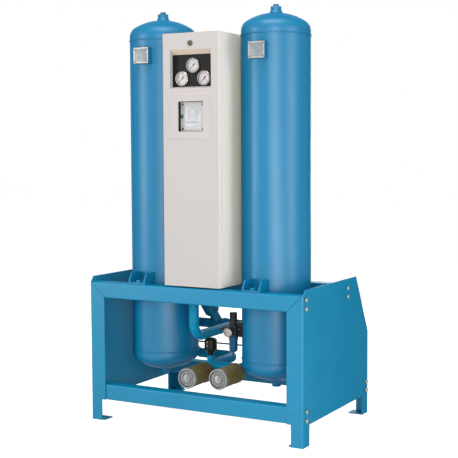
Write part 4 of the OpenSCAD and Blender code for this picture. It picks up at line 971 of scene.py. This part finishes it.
def controller_lamps(centre):
    """Three green lamps in each tower of the flow picture."""
    bm = bmesh.new()
    for hand in (-1, 1):
        for step in (-1, 0, 1):
            lathe(bm, LAMP, centre + Vector((hand * TOWER_X, 0, step * LAMP_STEP)), FRONT, steps=16)
    finish_bmesh("controller_lamps", bm, "lamp_green")


def controller_keys(face, centre):
    """A row of keys under the flow picture, and two buttons between its towers."""
    bm = bmesh.new()
    for i in range(KEY_COUNT):
        x = (i - (KEY_COUNT - 1) / 2) * KEY_STEP
        lathe(bm, KEY, face + Vector((x, 0, -KEY_DROP)), FRONT, steps=20)
    for step in (-1, 1):
        lathe(bm, VALVE_BUTTON, centre + UP * (step * VALVE_BUTTON_RISE), FRONT, steps=20)
    finish_bmesh("controller_keys", bm, "print_grey")


def controller_face():
    lid = box_middle("controller_lid")
    face = Vector((lid.x, SUNK_PANEL_Y - OVERLAY_T, lid.z))
    picture = face + UP * PICTURE_LIFT
    controller_overlay(lid)
    flow_picture(picture)
    controller_lamps(picture)
    controller_keys(face, picture)


PLUG_SIZE = (11 * MM, 5 * MM, 18 * MM)
PLUG_X = -55.5 * MM
PLUG_SINK = 1 * MM
PLUG_RISE = 1 * MM
PLUG_EDGE = 0.8 * MM
PLUG_SCREW = [(0, -0.4), (1.6, -0.4), (1.6, 0.2), (1.1, 0.3), (0, 0.1)]
PLUG_SCREW_STEP = 5 * MM


def controller_plug():
    """The green terminal plug on the lid's left margin, with its three screws."""
    half_depth = PLUG_SIZE[1] / 2
    lid = box_middle("controller_lid")
    at = Vector((PLUG_X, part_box("controller_lid")[0].y - half_depth + PLUG_SINK, lid.z + PLUG_RISE))
    bm = bmesh.new()
    block(bm, at, PLUG_SIZE, PLUG_EDGE)
    finish_bmesh("controller_plug", bm, "plug_green")
    bm = bmesh.new()
    for step in (-1, 0, 1):
        lathe(bm, PLUG_SCREW, at + FRONT * half_depth + UP * (step * PLUG_SCREW_STEP), FRONT, steps=16)
    finish_bmesh("controller_plug_screws", bm, "dark_steel")


# Nameplates.

FIELD_HALF = (35 * MM, 31 * MM)
FIELD_T = 0.25 * MM
FIELD_EDGE = 0.1 * MM


def nameplate_fields():
    """The etched field inside each nameplate's rim."""
    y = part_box("nameplates")[0].y - FIELD_T / 2
    z = box_middle("nameplates").z
    bm = bmesh.new()
    for side in ("left", "right"):
        x = box_middle(side + "_desiccant").x
        block(bm, (x, y, z), (2 * FIELD_HALF[0], FIELD_T, 2 * FIELD_HALF[1]), FIELD_EDGE)
    finish_bmesh("nameplate_fields", bm, "etched_metal")


# Small fasteners and fittings of the control air.

SCREW = [(0, -0.3), (4.2, -0.3), (4.2, 1.2), (3.4, 2.2), (1.6, 2.4), (1.6, 1.2), (0, 1.2)]
BRASS_PLUG = [(0, -1.0), (6.2, -1.0), (6.2, 2.2), (5.2, 3.0), (3.6, 3.0), (3.6, 5.2), (2.6, 5.8), (0, 5.8)]
PORT_PLUG_DROP = 17 * MM
VENT_SCREW_DROP = 33 * MM
BRACKET_SCREW_IN = 11 * MM
BRACKET_SCREW_RISE = 2 * MM


def actuator_fittings():
    """The six-sided port plug and the vent screw on the front of the exhaust actuator."""
    low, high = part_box("exhaust_actuator")
    top = Vector(((low.x + high.x) / 2, low.y, high.z))
    bm = bmesh.new()
    lathe(bm, BRASS_PLUG, top + DOWN * PORT_PLUG_DROP, FRONT, steps=6)
    finish_bmesh("actuator_port_plug", bm, "brass")
    bm = bmesh.new()
    lathe(bm, SCREW, top + DOWN * VENT_SCREW_DROP, FRONT, steps=20)
    finish_bmesh("actuator_vent_screw", bm, "bright_steel")


def bracket_screw():
    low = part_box("regulator_bracket")[0]
    z = box_middle("regulator_bracket").z + BRACKET_SCREW_RISE
    bm = bmesh.new()
    lathe(bm, SCREW, Vector((low.x + BRACKET_SCREW_IN, low.y, z)), FRONT, steps=20)
    finish_bmesh("regulator_bracket_screw", bm, "bright_steel")


CAP_CENTRES = ((-52, 243), (117, 255))
CAP_FACE_Y = -325 * MM
CAP_FLOOR_Y = -321 * MM
CAP_BOLT_Y = -329 * MM
CAP_SCREW_R = 29.25 * MM
CAP_SCREW_ANGLES = (30, 150, 270)
# Painted highlight: the bright turned land on the cap's rim.
CAP_HIGHLIGHT_LAND = ring_section(42.0, 45.2, base=-0.1, shoulder=0.2, top=0.35, chamfer=0.4)
# Painted shade: the dark ring in the cap's groove.
CAP_GROOVE_SHADE = ring_section(38.0, 41.3, base=-0.1, shoulder=0.7, top=1.1, chamfer=0.9)
CAP_WASHER = ring_section(8.9, 16.4, base=-0.1, shoulder=0.6, top=0.9, chamfer=0.4)
CAP_BOLT_FACE = [(0, -0.2), (7.2, -0.2), (7.2, 0.4), (6.4, 0.9), (3.0, 1.0), (0, 0.8)]
CAP_SCREW_FACE = [(0, -0.2), (3.8, -0.2), (3.8, 0.4), (3.2, 0.8), (0, 0.8)]


def muffler_cap_trim():
    """Each muffler cap's bright turned rim, a painted highlight for the light its bevel catches; a dark
    ring, painted shade in its groove; its tie bolt washer; and the turned faces of its bolts.
    """
    highlight_and_bolts = bmesh.new()
    groove_shades = bmesh.new()
    for x, z in CAP_CENTRES:
        face = Vector((x * MM, CAP_FACE_Y, z * MM))
        lathe(highlight_and_bolts, CAP_HIGHLIGHT_LAND, face, FRONT, steps=64)
        lathe(highlight_and_bolts, CAP_WASHER, face, FRONT, steps=40)
        lathe(highlight_and_bolts, CAP_BOLT_FACE, Vector((face.x, CAP_BOLT_Y, face.z)), FRONT, steps=32)
        for angle in CAP_SCREW_ANGLES:
            out = Matrix.Rotation(-math.radians(angle), 3, "Y") @ Vector((CAP_SCREW_R, 0, 0))
            lathe(highlight_and_bolts, CAP_SCREW_FACE, face + out, FRONT, steps=20)
        lathe(groove_shades, CAP_GROOVE_SHADE, Vector((face.x, CAP_FLOOR_Y, face.z)), FRONT, steps=64)
    finish_bmesh("muffler_cap_highlight_and_bolts", highlight_and_bolts, "turned_metal")
    finish_bmesh("muffler_cap_groove_shades", groove_shades, "black_plastic")


TUBE_COLLAR = [(4.1, -4.0), (6.6, -4.0), (7.0, -3.5), (7.0, 2.5), (6.4, 3.2), (5.6, 3.2), (5.4, 4.6),
               (4.1, 4.8), (4.1, -4.0)]
COLLAR_STEM_GAP = 5 * MM
COLLAR_PIPE_GAP = 4 * MM
STEM_BACK_Y = -282 * MM
TEE_TUBE_TOP = 1671 * MM
LEG_TUBE_X = 227 * MM
LEG_TUBE_TOP = 1675 * MM


def tube_collars():
    """Push-in collars where the gauge tubes leave the gauges and meet the outlet pipes."""
    bm = bmesh.new()
    for gauge in PANEL_GAUGES:
        at = gauge_centre(gauge)
        lathe(bm, TUBE_COLLAR, Vector((at.x, STEM_BACK_Y + COLLAR_STEM_GAP, at.z)), BACK, steps=24)
    for x, top in ((0, TEE_TUBE_TOP), (-LEG_TUBE_X, LEG_TUBE_TOP), (LEG_TUBE_X, LEG_TUBE_TOP)):
        lathe(bm, TUBE_COLLAR, Vector((x, OUTLET_Y, top - COLLAR_PIPE_GAP)), DOWN, steps=24)
    finish_bmesh("gauge_tube_collars", bm, "black_plastic")


add_camera()
add_world()
add_floor()
for lamp_name, lamp_looks in LAMPS.items():
    add_lamp(lamp_name, **lamp_looks)
make_finishes()
dress_nodes()
for vessel_side in ("left", "right"):
    vessel_welds(vessel_side)
pipe_welds()
mitre_welds()
plug_welds()
panel_dials()
dial_shadow_rings()
pointer_tails()
regulator_dial()
gauge_window_trim()
controller_shadow_strip()
cover_seal()
cabinet_back_trim()
controller_face()
controller_plug()
nameplate_fields()
actuator_fittings()
bracket_screw()
muffler_cap_trim()
tube_collars()

bpy.context.scene.view_settings.view_transform = "Standard"
